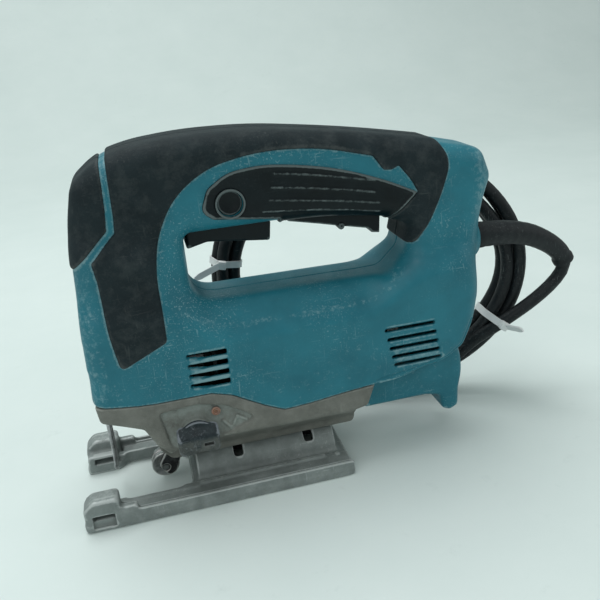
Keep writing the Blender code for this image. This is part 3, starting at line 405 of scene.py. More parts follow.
def toward_neighbours(spots, quads, shares):
    """Moves each place by each share of the way to the middle of its neighbours, one share after another."""
    mean = neighbours(quads, len(spots))
    for share in shares:
        middle = np.stack([mean(spots[:, a]) for a in range(3)], 1)
        spots = spots + share * (middle - spots)
    return spots.astype(np.float32)


def settle(field, spots, rounds=3):
    """Moves places onto the zero level, a little at a time."""
    for _ in range(rounds):
        value, slope = sample(field, spots)
        size = np.maximum((slope ** 2).sum(1), 1e-4)
        move = -(value / size)[:, None] * slope
        length = np.maximum(np.linalg.norm(move, axis=1), 1e-6)
        spots = spots + move * np.minimum(1, 0.3 / length)[:, None]
    return spots


def edge_wear(field, cells, step, reach=2):
    """How sharply the surface turns outward at each vertex (per millimetre, negative in hollows)."""
    limits = np.array(field.shape) - 1
    here = np.clip(cells, reach, limits - reach)
    middle = field[here[:, 0], here[:, 1], here[:, 2]]
    total = -6 * middle
    for axis in range(3):
        for sign in (-reach, reach):
            near = here.copy()
            near[:, axis] = np.clip(near[:, axis] + sign, 0, limits[axis])
            total = total + field[near[:, 0], near[:, 1], near[:, 2]]
    return total / (reach * step) ** 2


def make_mesh(name, verts, faces, values=None):
    """A smooth-shaded mesh object from stations, with named numbers kept at its vertices."""
    mesh = bpy.data.meshes.new(name)
    spots = to_world(np.asarray(verts, np.float64))
    sides = faces.shape[1]
    mesh.vertices.add(len(spots))
    mesh.vertices.foreach_set("co", spots.astype(np.float32).ravel())
    mesh.loops.add(faces.size)
    mesh.loops.foreach_set("vertex_index", np.ascontiguousarray(faces, np.int32).ravel())
    mesh.polygons.add(len(faces))
    mesh.polygons.foreach_set("loop_start", np.arange(0, faces.size, sides, dtype=np.int32))
    mesh.update(calc_edges=True)
    mesh.shade_smooth()
    for key, numbers in (values or {}).items():
        layer = mesh.attributes.new(key, "FLOAT", "POINT")
        layer.data.foreach_set("value", np.asarray(numbers, np.float32))
    return linked(name, mesh)


def dress(obj, body, slot, looks, *replaced):
    """Puts a piece on its body, in its slot's finish, in place of the CAD nodes it stands for."""
    obj.data.materials.append(looks[slot])
    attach(obj, body)
    if replaced:
        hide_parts(*replaced)
    return obj


def stations_of(obj):
    """Where a mesh's vertices are, in stations, distances across and heights."""
    spots = np.zeros(len(obj.data.vertices) * 3, np.float32)
    obj.data.vertices.foreach_get("co", spots)
    return spots[0::3] / MM + HALF_LENGTH, spots[1::3] / MM, spots[2::3] / MM


def solid(name, field, grid, mirror=False, marks=None, parted=False, thick=None, dusty=None):
    """A piece whose surface is a field's zero level.

    parted: its joint at the mid-plane isn't worn. thick: the field that its edges are read from, for a skin.
    marks: what is added to its wear and painted highlights at given places.
    dusty: its dust there, in place of what its hollows hold.
    """
    verts, quads, cells = level_mesh(field, grid)
    mean = neighbours(quads, len(verts))
    turn = edge_wear(field if thick is None else thick, cells, grid.step)
    for _ in range(3):
        turn = mean(turn)
    if mirror:
        verts = verts * np.array((1, -1, 1), np.float32)
        quads = quads[:, ::-1]
    wear_and_highlight = np.clip((turn - 0.30) / 0.6, 0, 1)
    if parted:
        wear_and_highlight = wear_and_highlight * np.clip((np.abs(verts[:, 1]) - 1.4) / 1.2, 0, 1)
    if marks:
        wear_and_highlight = np.clip(wear_and_highlight + marks(*verts.T), 0, 1)
    dust = np.clip((-turn - 0.08) / 0.5, 0, 1)
    obj = make_mesh(name, verts, quads, {"wear_and_highlight": wear_and_highlight, "dust": dust})
    if dusty:
        obj.data.attributes["dust"].data.foreach_set("value", dusty(*stations_of(obj)).astype(np.float32))
    return obj


# Finishes.


class Recipe:
    """Nodes for one procedural material."""

    def __init__(self, name):
        self.material = bpy.data.materials.new(name)
        self.material.use_nodes = True
        self.tree = self.material.node_tree
        self.shader = self.tree.nodes["Principled BSDF"]
        self.where = self.tree.nodes.new("ShaderNodeTexCoord").outputs["Object"]

    def node(self, kind, **settings):
        made = self.tree.nodes.new(kind)
        for key, value in settings.items():
            setattr(made, key, value)
        return made

    def link(self, out, socket):
        self.tree.links.new(out, socket)

    def noise(self, scale, detail=4.0, rough=0.55, stretch=None):
        noise = self.node("ShaderNodeTexNoise")
        noise.inputs["Scale"].default_value = scale
        noise.inputs["Detail"].default_value = detail
        noise.inputs["Roughness"].default_value = rough
        source = self.where
        if stretch:
            mapping = self.node("ShaderNodeMapping")
            mapping.inputs["Rotation"].default_value = stretch[1]
            mapping.inputs["Scale"].default_value = stretch[0]
            self.link(source, mapping.inputs["Vector"])
            source = mapping.outputs["Vector"]
        self.link(source, noise.inputs["Vector"])
        return noise.outputs["Fac"]

    def ramp(self, value, low, high, start=0.0, end=1.0):
        """A straight climb from start to end as a value goes from low to high."""
        span = self.node("ShaderNodeMapRange")
        span.inputs["From Min"].default_value = low
        span.inputs["From Max"].default_value = high
        span.inputs["To Min"].default_value = start
        span.inputs["To Max"].default_value = end
        self.link(value, span.inputs["Value"])
        return span.outputs["Result"]

    def math(self, operation, a, b):
        made = self.node("ShaderNodeMath", operation=operation)
        for socket, value in zip(made.inputs, (a, b)):
            if isinstance(value, (int, float)):
                socket.default_value = value
            else:
                self.link(value, socket)
        return made.outputs[0]

    def mix(self, share, a, b):
        made = self.node("ShaderNodeMix", data_type="RGBA")
        self.link(share, made.inputs["Factor"])
        for key, value in (("A", a), ("B", b)):
            socket = [s for s in made.inputs if s.name == key and s.type == "RGBA"][0]
            if isinstance(value, tuple):
                socket.default_value = (*value, 1.0)
            else:
                self.link(value, socket)
        return [s for s in made.outputs if s.type == "RGBA"][0]

    def mark(self, key):
        return self.node("ShaderNodeAttribute", attribute_name=key).outputs["Fac"]

    def bump(self, height, distance, strength=1.0, under=None):
        made = self.node("ShaderNodeBump")
        made.inputs["Distance"].default_value = distance
        made.inputs["Strength"].default_value = strength
        self.link(height, made.inputs["Height"])
        if under:
            self.link(under, made.inputs["Normal"])
        return made.outputs["Normal"]


def finish(name, colour, pale, deep, rough, metallic=0.0, speck=0.5, speck_from=0.6,
           wear_and_highlight_tint=(0.6, 0.6, 0.58), wear_and_highlight_amount=0.7, dust=(0.30, 0.29, 0.27), dust_share=0.4,
           grain=1400.0, grain_depth=0.00005, scratch=0.35, blotch=38.0, blotch_share=0.5, gloss=0.5):
    """Mottled colour, pale specks, fine scratches, worn edges with the painted highlights that marks add to
    them, and dusty hollows over a fine grain.
    """
    made = Recipe(name)
    cloud = made.noise(blotch, 6.0, 0.62)
    tone = made.mix(made.ramp(cloud, 0.36, 0.66), deep, colour)
    film = made.noise(blotch * 2.7, 8.0, 0.7)
    tone = made.mix(made.math("MULTIPLY", made.ramp(film, 0.46, 0.74), blotch_share), tone, pale)
    dots = made.noise(1000.0, 3.0, 0.6)
    where = made.ramp(made.noise(26.0, 3.0, 0.6), 0.42, 0.68)
    specks = made.math("MULTIPLY", made.ramp(dots, speck_from, speck_from + 0.07), where)
    lines = made.noise(1.0, 2.0, 0.4, ((900.0, 900.0, 60.0), (0.4, 0.9, 0.3)))
    lines_b = made.noise(1.0, 2.0, 0.4, ((80.0, 900.0, 1100.0), (0.1, 0.5, -0.4)))
    fine = made.math("MAXIMUM", made.ramp(lines, 0.66, 0.72), made.ramp(lines_b, 0.67, 0.73))
    fine = made.math("MULTIPLY", made.math("MULTIPLY", fine, where), scratch)
    ragged = made.ramp(made.noise(340.0, 6.0, 0.75), 0.35, 0.7, -0.5, 0.10)
    # The vertex attribute holds edge wear and the painted highlights from marks; both are painted in the
    # same pale tint.
    edge = made.math("ADD", made.mark("wear_and_highlight"), ragged)
    edge = made.math("MULTIPLY", made.ramp(edge, 0.05, 0.55), wear_and_highlight_amount)
    pale_share = made.math("MAXIMUM", made.math("MULTIPLY", specks, speck), fine)
    tone = made.mix(pale_share, tone, wear_and_highlight_tint)
    tone = made.mix(edge, tone, wear_and_highlight_tint)
    hollow = made.math("MULTIPLY", made.mark("dust"), made.ramp(made.noise(130.0, 5.0, 0.7), 0.3, 0.62))
    tone = made.mix(made.math("MULTIPLY", hollow, dust_share), tone, dust)
    made.link(tone, made.shader.inputs["Base Color"])
    roughness = made.ramp(film, 0.35, 0.75, rough - 0.08, min(rough + 0.14, 1.0))
    made.link(roughness, made.shader.inputs["Roughness"])
    made.shader.inputs["Metallic"].default_value = metallic
    made.shader.inputs["Specular IOR Level"].default_value = gloss
    coarse = made.bump(dots, grain_depth * 2.0, 0.5)
    made.link(made.bump(made.noise(grain, 3.0, 0.6), grain_depth, 0.8, coarse), made.shader.inputs["Normal"])
    return made.material


def finishes():
    """The material of each slot."""
    return {
        "teal_plastic": finish(
            "teal", (0.014, 0.168, 0.222), (0.050, 0.215, 0.250), (0.009, 0.130, 0.176), 0.44,
            speck=0.48, speck_from=0.585, wear_and_highlight_tint=(0.30, 0.46, 0.48), wear_and_highlight_amount=0.55,
            dust=(0.028, 0.14, 0.18), blotch_share=0.14, scratch=0.42, gloss=0.35),
        "black_rubber": finish(
            "rubber", (0.012, 0.022, 0.026), (0.062, 0.072, 0.073), (0.006, 0.013, 0.016), 0.72,
            speck=0.16, wear_and_highlight_tint=(0.12, 0.13, 0.125), wear_and_highlight_amount=0.30, blotch=44.0, blotch_share=0.55,
            grain_depth=0.00012, scratch=0.22, dust=(0.02, 0.026, 0.027), gloss=0.22),
        "black_plastic": finish(
            "black", (0.002, 0.007, 0.009), (0.010, 0.016, 0.018), (0.001, 0.004, 0.005), 0.42,
            speck=0.04, wear_and_highlight_tint=(0.17, 0.21, 0.21), wear_and_highlight_amount=0.6, blotch_share=0.4,
            dust=(0.01, 0.014, 0.015), scratch=0.05, gloss=0.22),
        "grey_casting": finish(
            "casting", (0.178, 0.182, 0.162), (0.265, 0.268, 0.245), (0.122, 0.126, 0.112), 0.62,
            speck=0.35, speck_from=0.58, wear_and_highlight_tint=(0.34, 0.35, 0.32), wear_and_highlight_amount=0.40,
            dust=(0.27, 0.31, 0.29), dust_share=0.8, grain=700.0, grain_depth=0.00016,
            blotch=50.0, blotch_share=0.45, gloss=0.3),
        "base_aluminium": finish(
            "base", (0.235, 0.268, 0.260), (0.345, 0.380, 0.370), (0.160, 0.182, 0.177), 0.48, 0.2,
            speck=0.30, wear_and_highlight_tint=(0.50, 0.54, 0.53), wear_and_highlight_amount=0.6, dust=(0.17, 0.19, 0.18),
            dust_share=0.5, grain=900.0, grain_depth=0.00008, blotch=55.0, blotch_share=0.45, scratch=0.5),
        "knob_plastic": finish(
            "knob", (0.010, 0.020, 0.024), (0.040, 0.058, 0.066), (0.005, 0.011, 0.014), 0.45,
            speck=0.45, speck_from=0.58, wear_and_highlight_tint=(0.34, 0.37, 0.41), wear_and_highlight_amount=0.50,
            dust=(0.105, 0.110, 0.100), dust_share=0.85, blotch=120.0, gloss=0.3),
        "steel": finish(
            "steel", (0.42, 0.42, 0.43), (0.60, 0.60, 0.60), (0.22, 0.22, 0.22), 0.34, 1.0,
            speck=0.2, dust=(0.08, 0.075, 0.07), dust_share=0.7, blotch=160.0),
        "dark_steel": finish(
            "dark_steel", (0.070, 0.072, 0.076), (0.16, 0.16, 0.16), (0.03, 0.03, 0.032), 0.40, 0.9,
            speck=0.25, dust=(0.05, 0.046, 0.04), dust_share=0.7, blotch=140.0),
        "laminations": finish(
            "laminations", (0.20, 0.20, 0.21), (0.32, 0.32, 0.33), (0.12, 0.12, 0.13), 0.45, 1.0,
            blotch=180.0),
        "copper": finish("copper", (0.62, 0.28, 0.14), (0.75, 0.40, 0.24), (0.40, 0.16, 0.07), 0.36, 1.0),
        "brass": finish(
            "brass", (0.52, 0.36, 0.14), (0.66, 0.50, 0.26), (0.33, 0.21, 0.07), 0.38, 1.0,
            dust=(0.12, 0.07, 0.03)),
        "carbon": finish("carbon", (0.020, 0.020, 0.020), (0.05, 0.05, 0.05), (0.01, 0.01, 0.01), 0.72),
        "white_nylon": finish(
            "nylon", (0.78, 0.80, 0.80), (0.86, 0.87, 0.87), (0.66, 0.68, 0.68), 0.42,
            speck=0.0, wear_and_highlight_amount=0.0, dust=(0.45, 0.45, 0.43), scratch=0.1),
        "cable_rubber": finish(
            "cable", (0.006, 0.010, 0.012), (0.036, 0.042, 0.042), (0.003, 0.005, 0.007), 0.52,
            speck=0.20, wear_and_highlight_tint=(0.20, 0.22, 0.22), wear_and_highlight_amount=0.4, blotch=55.0,
            blotch_share=0.45, grain_depth=0.00006, gloss=0.3),
    }


def rusty_finish():
    """The painted dot of the side screw: orange brown."""
    return finish("rust", (0.26, 0.085, 0.022), (0.40, 0.16, 0.05), (0.12, 0.035, 0.010), 0.7,
                  speck=0.1, wear_and_highlight_amount=0.2, blotch=300.0)


# The body's form, shared by its halves and coverings.


class Body:
    """The outer form on one side of the mid-plane, as a field, with the outlines that marks follow."""

    def __init__(self, step):
        self.grid = grid = Grid((13.0, -1.2, 3.0), (257.0, 34.2, 212.0), step)
        across = np.abs(grid.y)
        upper_flat = np.maximum(grid.outline(UPPER_OUTLINE, 12), -grid.outline(HANDLE_HOLE, 12))
        motor_flat = grid.outline(MOTOR_OUTLINE)
        column_flat = grid.outline(COLUMN_OUTLINE)
        tail_flat = grid.outline(TAIL_OUTLINE)
        upper = rounded_meet(upper_flat, across - HANDLE_HALF, 11.0)
        motor = np.maximum(rounded_meet(grid.outline(MOTOR_ROUND), across - BODY_HALF, 9.0), motor_flat)
        column = rounded_meet(column_flat, across - COLUMN_HALF, 10.0)
        tail = rounded_meet(tail_flat, across - TAIL_HALF, 4.0)
        collar = grid.rod("x", (0, CORD_HEIGHT), 12.5, (225, 252.5), 4.0)
        form = blend_join(upper, motor, 11.0)
        form = blend_join(form, column, 7.0)
        silhouette = np.minimum(np.minimum(upper_flat, motor_flat), np.minimum(column_flat, tail_flat))
        form = blend_join(form, tail, 3.0)
        form = blend_meet(form, silhouette, 1.5)
        self.form = blend_join(form, collar, 6.0).astype(np.float32)
        self.cover = grid.outline(COVER_REGION)
        self.nose = grid.outline(NOSE_REGION)
        self.inlay = grid.outline(INLAY_REGION)

    def half(self, field):
        """What lies on this side of the seam."""
        return np.maximum(field, SEAM - self.grid.y)


def vents(grid):
    """Front louvres with ramps, and plain slots at the rear."""
    result = None
    for height in FRONT_VENTS:
        flat = np.maximum(np.abs(grid.x - 80.5) - 11.0, np.abs(grid.z - height) - 1.7)
        ramp = (BODY_HALF - 0.26 * (grid.x - 69.5) - 1.5 * (grid.z - height + 1.2)) - grid.y
        slot = np.maximum(flat, ramp)
        result = slot if result is None else np.minimum(result, slot)
    for height in REAR_VENTS:
        front, rear = 182 + (88 - height) * 0.22, 213 + (88 - height) * 0.18
        flat = rounded_meet(np.abs(grid.x - (front + rear) / 2) - (rear - front) / 2,
                            np.abs(grid.z - height) - 1.15, 1.0)
        result = np.minimum(result, np.maximum(flat, 22.0 - grid.y))
    return result


def housing_field(body, lock_side):
    """A hollow half with its seam line, louvres, bores and openings; the far half has the screws' cups."""
    grid = body.grid
    shell = remove(body.form, body.form + WALL)
    line = line_distance(grid.x, grid.z, ((177, 56), (204, 60), (221, 62), (231, 69.5), (237, 84)))
    groove = np.maximum(line - 0.55, -(body.form + 0.9))
    shell = remove(shell, groove, 0.7)
    if not lock_side:
        for station, height, reach in SCREWS:
            cup = grid.rod("y", (station, height), 5.2, (reach - 2.4, 40), 0.4)
            shell = np.minimum(shell, np.maximum(cup, body.form))
            shell = remove(shell, grid.rod("y", (station, height), 3.8, (reach, 60)), 0.5)
    shell = remove(shell, vents(grid), 0.4)
    shell = remove(shell, grid.block((77, 130), (-9.7, 9.7), (138, 162), 1.0))
    shell = remove(shell, grid.block((21, 97), (-24.5, 24.5), (54, 78)))
    shell = remove(shell, grid.rod("x", (0, CORD_HEIGHT), 8.9, (225, 262)), 0.8)
    if lock_side:
        shell = remove(shell, grid.rod("y", LOCK, 6.7, (8, 34)), 0.4)
    return body.half(shell)


def teal_marks():
    """Where the teal is worn: beside the coverings, at the rear cap and low down; along the shoulder ridge
    its pale line is partly wear and partly a painted highlight.
    """
    regions = [(rounded(COVER_REGION), 0.50), (rounded(NOSE_REGION), 0.50), (rounded(INLAY_REGION), 0.20)]
    shoulder = ((70, 118), (88, 107), (100, 104.5), (172, 105), (184, 109), (198, 121))

    def marks(x, y, z):
        total = np.zeros(len(x), np.float32)
        for outline, share in regions:
            gap = np.abs(flat_distance(x, z, outline))
            total += share * np.clip(1.5 - gap, 0, 1)
        total += 0.42 * np.clip((x - 236) / 9, 0, 1) * np.clip((z - 126) / 20, 0, 1)
        # A pale line along the shoulder ridge: partly wear, partly a painted highlight.
        total += 0.30 * np.exp(-(line_distance(x, z, shoulder) / 2.2) ** 2)
        front_near = np.maximum(np.abs(x - 80) - 10.5, np.abs(z - 83.5) - 10)
        rear_near = np.maximum(np.abs(x - 200) - 15, np.abs(z - 75) - 12)
        for near, share in ((front_near, 0.22), (rear_near, 0.42)):
            total -= share * (near < 2.0)
        total -= 0.45 * (line_distance(x, z, SEAM_TRACE) < 3.0)
        total += 0.30 * np.clip((38 - x) / 14, 0, 1)
        total += 0.16 * np.clip((92 - z) / 12, 0, 1) * (x > 30)
        return total * (np.abs(y) > 2)

    return marks


def housings(body, looks):
    marks = teal_marks()
    for label, lock_side in (("left", True), ("right", False)):
        field = housing_field(body, lock_side)
        thick = remove(body.form, vents(body.grid), 0.4)
        shell = solid("shell_" + label, field, body.grid, lock_side, marks, True, thick)
        dress(shell, "body", "teal_plastic", looks, label + "_housing")


def coverings(body, looks):
    """The rubber skins and the inlay, raised a little from the form under them."""
    grid = body.grid
    under = -(body.form + 0.5)
    for label, mirror in (("left", True), ("right", False)):
        for part, node, region, lift in (("cover", "rubber_cover_", body.cover, RUBBER_LIFT),
                                         ("nose", "nose_pad_", body.nose, NOSE_LIFT)):
            block = blend_meet(body.form - lift, region, 1.8)
            skin = body.half(np.maximum(block, under))
            piece = solid(f"grip_{part}_{label}", skin, grid, mirror, None, True, block)
            dress(piece, "body", "black_rubber", looks, node + label)
        skin, block = inlay_field(body, mirror)
        piece = solid("grip_inlay_piece_" + label, skin, grid, mirror, inlay_marks, True, block)
        dress(piece, "body", "black_plastic", looks, "grip_inlay_" + label)


RIBS = (((128.7, 183.3), (140, 181.6), (152.7, 179.3), (168, 176.0), (182.9, 172.5)),
        ((126.7, 176.3), (140, 174.4), (152.2, 172.4), (168, 169.4), (182.6, 166.3)),
        ((124.5, 169.8), (138, 167.9), (151.7, 165.8), (168, 163.2), (185.0, 159.9)),
        ((121.1, 164.0), (136, 162.5), (151.3, 160.7), (168, 158.1), (186.1, 154.5)))


def inlay_field(body, lock_side):
    """The grip's inlay, and the same form before it was thinned to a skin."""
    grid = body.grid
    skin = blend_meet(body.form - 0.8, body.inlay, 1.0)
    edge = blend_meet(body.form - 1.45, np.abs(body.inlay + 1.0) - 0.85, 0.7)
    skin = blend_join(skin, edge, 0.6)
    for line in RIBS:
        rib = np.maximum(line_distance(grid.x, grid.z, line) - 0.3, body.form - 1.3)
        skin = blend_join(skin, rib, 0.7)
    block = skin
    skin = np.maximum(skin, -(body.form + 1.2))
    skin = np.maximum(skin, -grid.block((76, 131), (-9.9, 9.9), (138, 163)))
    if lock_side:
        dish = (grid.x - LOCK[0] + 1.5) ** 2 + (grid.z - LOCK[1]) ** 2 + (grid.y - 56.0) ** 2
        dish = np.sqrt(dish) - 35.0
        skin = remove(skin, dish, 0.8)
        skin = remove(skin, grid.rod("y", LOCK, 7.4, (12, 34)), 0.3)
    return body.half(skin), block


def inlay_marks(x, y, z):
    """Wear on the ribs and along the rim, but not where the rim runs on into the rubber."""
    total = np.zeros(len(x), np.float32)
    for line in RIBS:
        total += 0.50 * np.clip(1.9 - line_distance(x, z, line) / 0.45, 0, 1) * (np.abs(y) > 20)
    outline = rounded(INLAY_REGION)
    rim = np.clip(1.2 - np.abs(flat_distance(x, z, outline) + 0.7) / 0.45, 0, 1)
    behind = (x > 190) & (z < 162.5)
    total += 0.28 * rim * (np.abs(y) > 14) * ~behind
    return total


# The casting under the motor.


def casting_field(grid):
    """The gear case: block, keel, sunk panel and boss, hollowed for the drive and bored for its bolts."""
    across = np.abs(grid.y)
    half = BODY_HALF - 0.4
    block = rounded_meet(grid.outline(CASTING_ROUND), across - half, 3.5)
    block = blend_meet(block, grid.outline(CASTING_OUTLINE) + 0.15, 0.4)
    keel = rounded_meet(grid.outline(KEEL_OUTLINE), across - 12, 1.5)
    form = blend_join(block, keel, 4.0)
    chin = np.maximum((24.4 + 1.03 * (across - 12) - grid.z) / 1.44, np.abs(grid.x - 117) - 49)
    form = blend_join(form, np.maximum(chin, np.maximum(across - 29, grid.z - 46)), 2.0)
    under = np.maximum(grid.block((40, 64), (-25.6, 25.6), (20, 41.5)), 12.4 - across)
    form = remove(form, under, 0.8)
    depth = np.minimum(2.6, np.maximum(0.6, 0.16 * (grid.z - 36)))
    panel = rounded_meet(grid.outline(PANEL_OUTLINE), (half - depth) - across, 0.5)
    form = remove(form, panel, 1.6)
    boss = grid.rod("y", KNOB, 9.0, (-26, -32.7), 0.6)
    form = blend_join(form, boss, 1.2)
    for line in BADGE_LINES:
        wedge = line_distance(grid.x, grid.z, line) - 0.8
        wedge = np.maximum(np.maximum(wedge, across - half + 0.5), half - 4 - across)
        form = blend_join(form, wedge, 0.6)
    form = remove(form, grid.block((22, 97), (-24, 24), (64, 80), 1.0))
    form = remove(form, grid.block((48, 97), (-24, 24), (47.5, 70), 1.0))
    form = remove(form, grid.rod("z", (32, 0), 8.6, (45, 67)), 0.6)
    form = remove(form, grid.block((42.5, 71), (-8.6, 8.6), (12, 54)), 0.6)
    form = remove(form, grid.rod("x", (0, TILT_HEIGHT), 17.6, (60.5, 175)), 0.6)
    form = remove(form, grid.rod("y", KNOB, 3.9, (-40, -6)))
    form = remove(form, grid.rod("y", (81, 57), 3.1, (-40, -29.2)), 0.5)
    for station in BOLT_STATIONS:
        form = remove(form, grid.rod("z", (station, 0), 2.8, (8, 37)))
    for side in (-4.5, 4.5):
        form = remove(form, grid.rod("z", (20, side), 1.6, (50, 66)))
    return form


def casting_marks(x, y, z):
    lower = np.exp(-((z - 41) / 2.0) ** 2) * (np.abs(y) > 26) * (x > 60)
    return 0.2 * lower + 0.3 * np.exp(-((z - 69.5) / 1.2) ** 2) * (x < 86)


def casting(looks):
    panel = rounded(PANEL_OUTLINE)

    def dusty(x, y, z):
        return 0.95 * np.clip(0.4 - flat_distance(x, z, panel) / 1.5, 0, 1) * (np.abs(y) > 26)

    grid = Grid((15.0, -34.5, 17.0), (178.0, 32.5, 75.0), 0.55)
    piece = solid("gear_case", casting_field(grid), grid, False, casting_marks, dusty=dusty)
    dress(piece, "body", "grey_casting", looks, "gear_housing")


# The base.

PLATE_PLAN = ((0, -38.5, 3), (158, -38.5, 5), (158, 38.5, 5), (0, 38.5, 3))
THROAT_PLAN = ((-6, -19, 0.1), (19, -19, 3), (25, -24, 4), (56, -24, 7), (62, -16, 7),
               (62, 16, 7), (56, 24, 7), (25, 24, 4), (19, 19, 3), (-6, 19, 0.1))
# On both sides of the base: stations, distances across, heights, rounding and the blend into the rest.
BASE_BEAMS = (
    ((14, 157.4), (36.3, 38.3), (0.6, 9.5), 0.8, 1.6), ((22, 157.2), (22.4, 38.0), (0.6, 7.4), 1.0, 1.0),
    ((23, 156.8), (33.6, 35.0), (0.6, 8.6), 0.7, 0.8), ((0.3, 20.5), (25.5, 38.3), (0.5, 19), 2.6, 2.0),
    ((0.6, 19), (16, 30), (0.5, 12), 2.2, 2.0), ((19, 30), (33, 38.3), (0.5, 12.5), 1.8, 2.0),
    ((16, 66), (22, 27), (0.5, 8), 1.2, 1.6), ((66, 143), (22.6, 25.2), (0.5, 8.6), 1.0, 1.6),
    ((36, 43), (17.2, 24), (0.5, 9.0), 0.8, 0.8),
)
STUD = (150.5, 24.5)


def base_field(grid):
    """A plate with rims and prong heads, the saddle that tilts, the throat and the bolts' slots."""
    across = np.abs(grid.y)
    form = rounded_meet(grid.plan(PLATE_PLAN), np.abs(grid.z - 2.5) - 2.5, 0.9)
    for xs, ys, zs, rounding, reach in BASE_BEAMS:
        form = blend_join(form, grid.beam(xs, ys, zs, rounding), reach)
    stud = np.maximum(np.hypot(grid.x - STUD[0], across - STUD[1]) - 1.5, np.abs(grid.z - 4.6) - 3.5)
    form = blend_join(form, stud, 0.8)
    round_axis = np.hypot(grid.y, grid.z - TILT_HEIGHT)
    arch = np.maximum(round_axis - 17.0, np.abs(grid.x - 109) - 43)
    form = blend_join(form, np.maximum(arch, 0.5 - grid.z), 3.5)
    form = remove(form, grid.plan(THROAT_PLAN), 0.8)
    form = remove(form, grid.beam((4.5, 17), (14, 42), (6.4, 10), 0.6), 0.5)
    form = remove(form, grid.beam((4.5, 17), (36.6, 42), (2.4, 7.0), 0.6), 0.4)
    form = blend_meet(form, (grid.z - 0.9 * grid.x - 13.6) / 1.35, 1.2)
    for station in BOLT_STATIONS:
        room = np.maximum(round_axis - 13.4, np.abs(grid.x - station) - 6.5)
        form = remove(form, room, 0.5)
        form = remove(form, grid.block((station - 2.9, station + 2.9), (-13.6, 13.6), (8, 30), 1.5), 0.4)
    for xs in ((70, 84), (100, 128), (142, 149)):
        form = remove(form, grid.beam(xs, (-1, 9), (-3, 0.8), 0.4), 0.3)
    return np.maximum(form, 0.05 - grid.z)


def base_marks(x, y, z):
    across = np.abs(y)
    rim = np.exp(-((across - 37.4) / 0.7) ** 2) * (z > 8.8)
    rim = rim + 0.8 * np.exp(-((across - 34.2) / 0.7) ** 2) * (z > 8)
    stud = (np.hypot(x - STUD[0], across - STUD[1]) < 1.5) * (z > 7.4)
    head = 0.35 * (x < 21) * (z > 17.5)
    return 0.5 * rim + 0.9 * stud + head + 0.35 * (z < 0.4)


def base(looks):
    grid = Grid((-1.5, -40.0, -1.5), (159.5, 40.0, 22.5), 0.5)
    piece = solid("shoe", base_field(grid), grid, False, base_marks)
    dress(piece, "base", "base_aluminium", looks, "base_plate")


# The selector knob, the trigger, the lock and the roller.


def knob(looks):
    """A disc with a waisted finger bar across it, whose upper half slopes away."""
    grid = Grid((KNOB[0] - 13, -43.0, KNOB[1] - 13), (KNOB[0] + 13, -31.5, KNOB[1] + 13), 0.25)
    across = -grid.y
    disc = grid.rod("y", KNOB, 9.6, (-36.0, -32.9), 0.6)
    waist = 8.1 - 1.0 * np.exp(-((grid.x - KNOB[0]) / 4.6) ** 2)
    bar = rounded_meet(np.abs(grid.z - KNOB[1] - 0.3) - waist, np.abs(grid.x - KNOB[0]) - 11.6, 3.6)
    bar = rounded_meet(bar, np.abs(across - 37.7) - 3.9, 2.0)
    slope = (grid.z - KNOB[1] - 3.2) * 0.80 + (across - 41.2) * 0.60
    bar = blend_meet(bar, slope, 1.4)
    form = blend_join(disc, bar, 1.0)
    slot = grid.block((KNOB[0] + 2.6, KNOB[0] + 7.8), (-44, -39.6), (KNOB[1] - 2.9, KNOB[1] - 0.9))
    form = remove(form, slot, 0.3)

    def marks(x, y, z):
        return 0.22 * (z > KNOB[1] + 3) * (np.abs(x - KNOB[0]) < 11)

    def dusty(x, y, z):
        return np.clip((KNOB[1] + 2.6 - z) / 1.6, 0, 1)

    piece = solid("selector_knob", form, grid, False, marks, dusty=dusty)
    dress(piece, "orbital_knob", "knob_plastic", looks, "orbital_knob")


def side_piece(name, outline, half, rounding, step, body, slot, looks, node, extra=None):
    """A piece with a side-view outline and rounded edges."""
    xs, zs = zip(*rounded(outline))
    grid = Grid((min(xs) - 1.5, -half - 1.5, min(zs) - 1.5),
                (max(xs) + 1.5, half + 1.5, max(zs) + 1.5), step)
    form = rounded_meet(grid.outline(outline), np.abs(grid.y) - half, rounding)
    if extra:
        form = extra(grid, form)
    return dress(solid(name, form, grid), body, slot, looks, node)


def trigger_extra(grid, form):
    """Grooves across the paddle for the finger."""
    for station in (97, 103, 109, 115, 121):
        line = np.hypot(grid.x - station, grid.z - 145.0 + 0.10 * (station - 97)) - 0.75
        form = remove(form, np.maximum(line, np.abs(grid.y) - 7.0), 0.4)
    return form


def trim_extra(grid, form):
    """The rail's cross pin."""
    nub = grid.rod("y", (167.3, 145.2), 1.9, (-7.2, 7.2), 0.5)
    return blend_join(form, nub, 0.5)


def holder_extra(grid, form):
    """The fork's gap for the roller, and the bores of its two pins."""
    form = remove(form, grid.rod("y", ROLLER, 10.2, (-4.5, 4.5)), 0.4)
    form = remove(form, grid.block((30, 48), (-4.5, 4.5), (0, 21)), 0.4)
    form = remove(form, grid.rod("y", ROLLER, 2.4, (-9, 9)))
    return remove(form, grid.rod("y", (62, 45), 2.5, (-9, 9)))


def side_pieces(looks):
    side_piece("paddle", TRIGGER_OUTLINE, 9.2, 2.2, 0.4, "trigger", "black_plastic", looks, "trigger",
               trigger_extra)
    side_piece("grip_rail", TRIM_OUTLINE, 6.0, 0.7, 0.35, "body", "black_plastic", looks,
               "grip_underside_trim", trim_extra)
    side_piece("roller_fork", HOLDER_OUTLINE, 7.8, 1.0, 0.4, "roller_holder", "dark_steel", looks,
               "roller_holder", holder_extra)


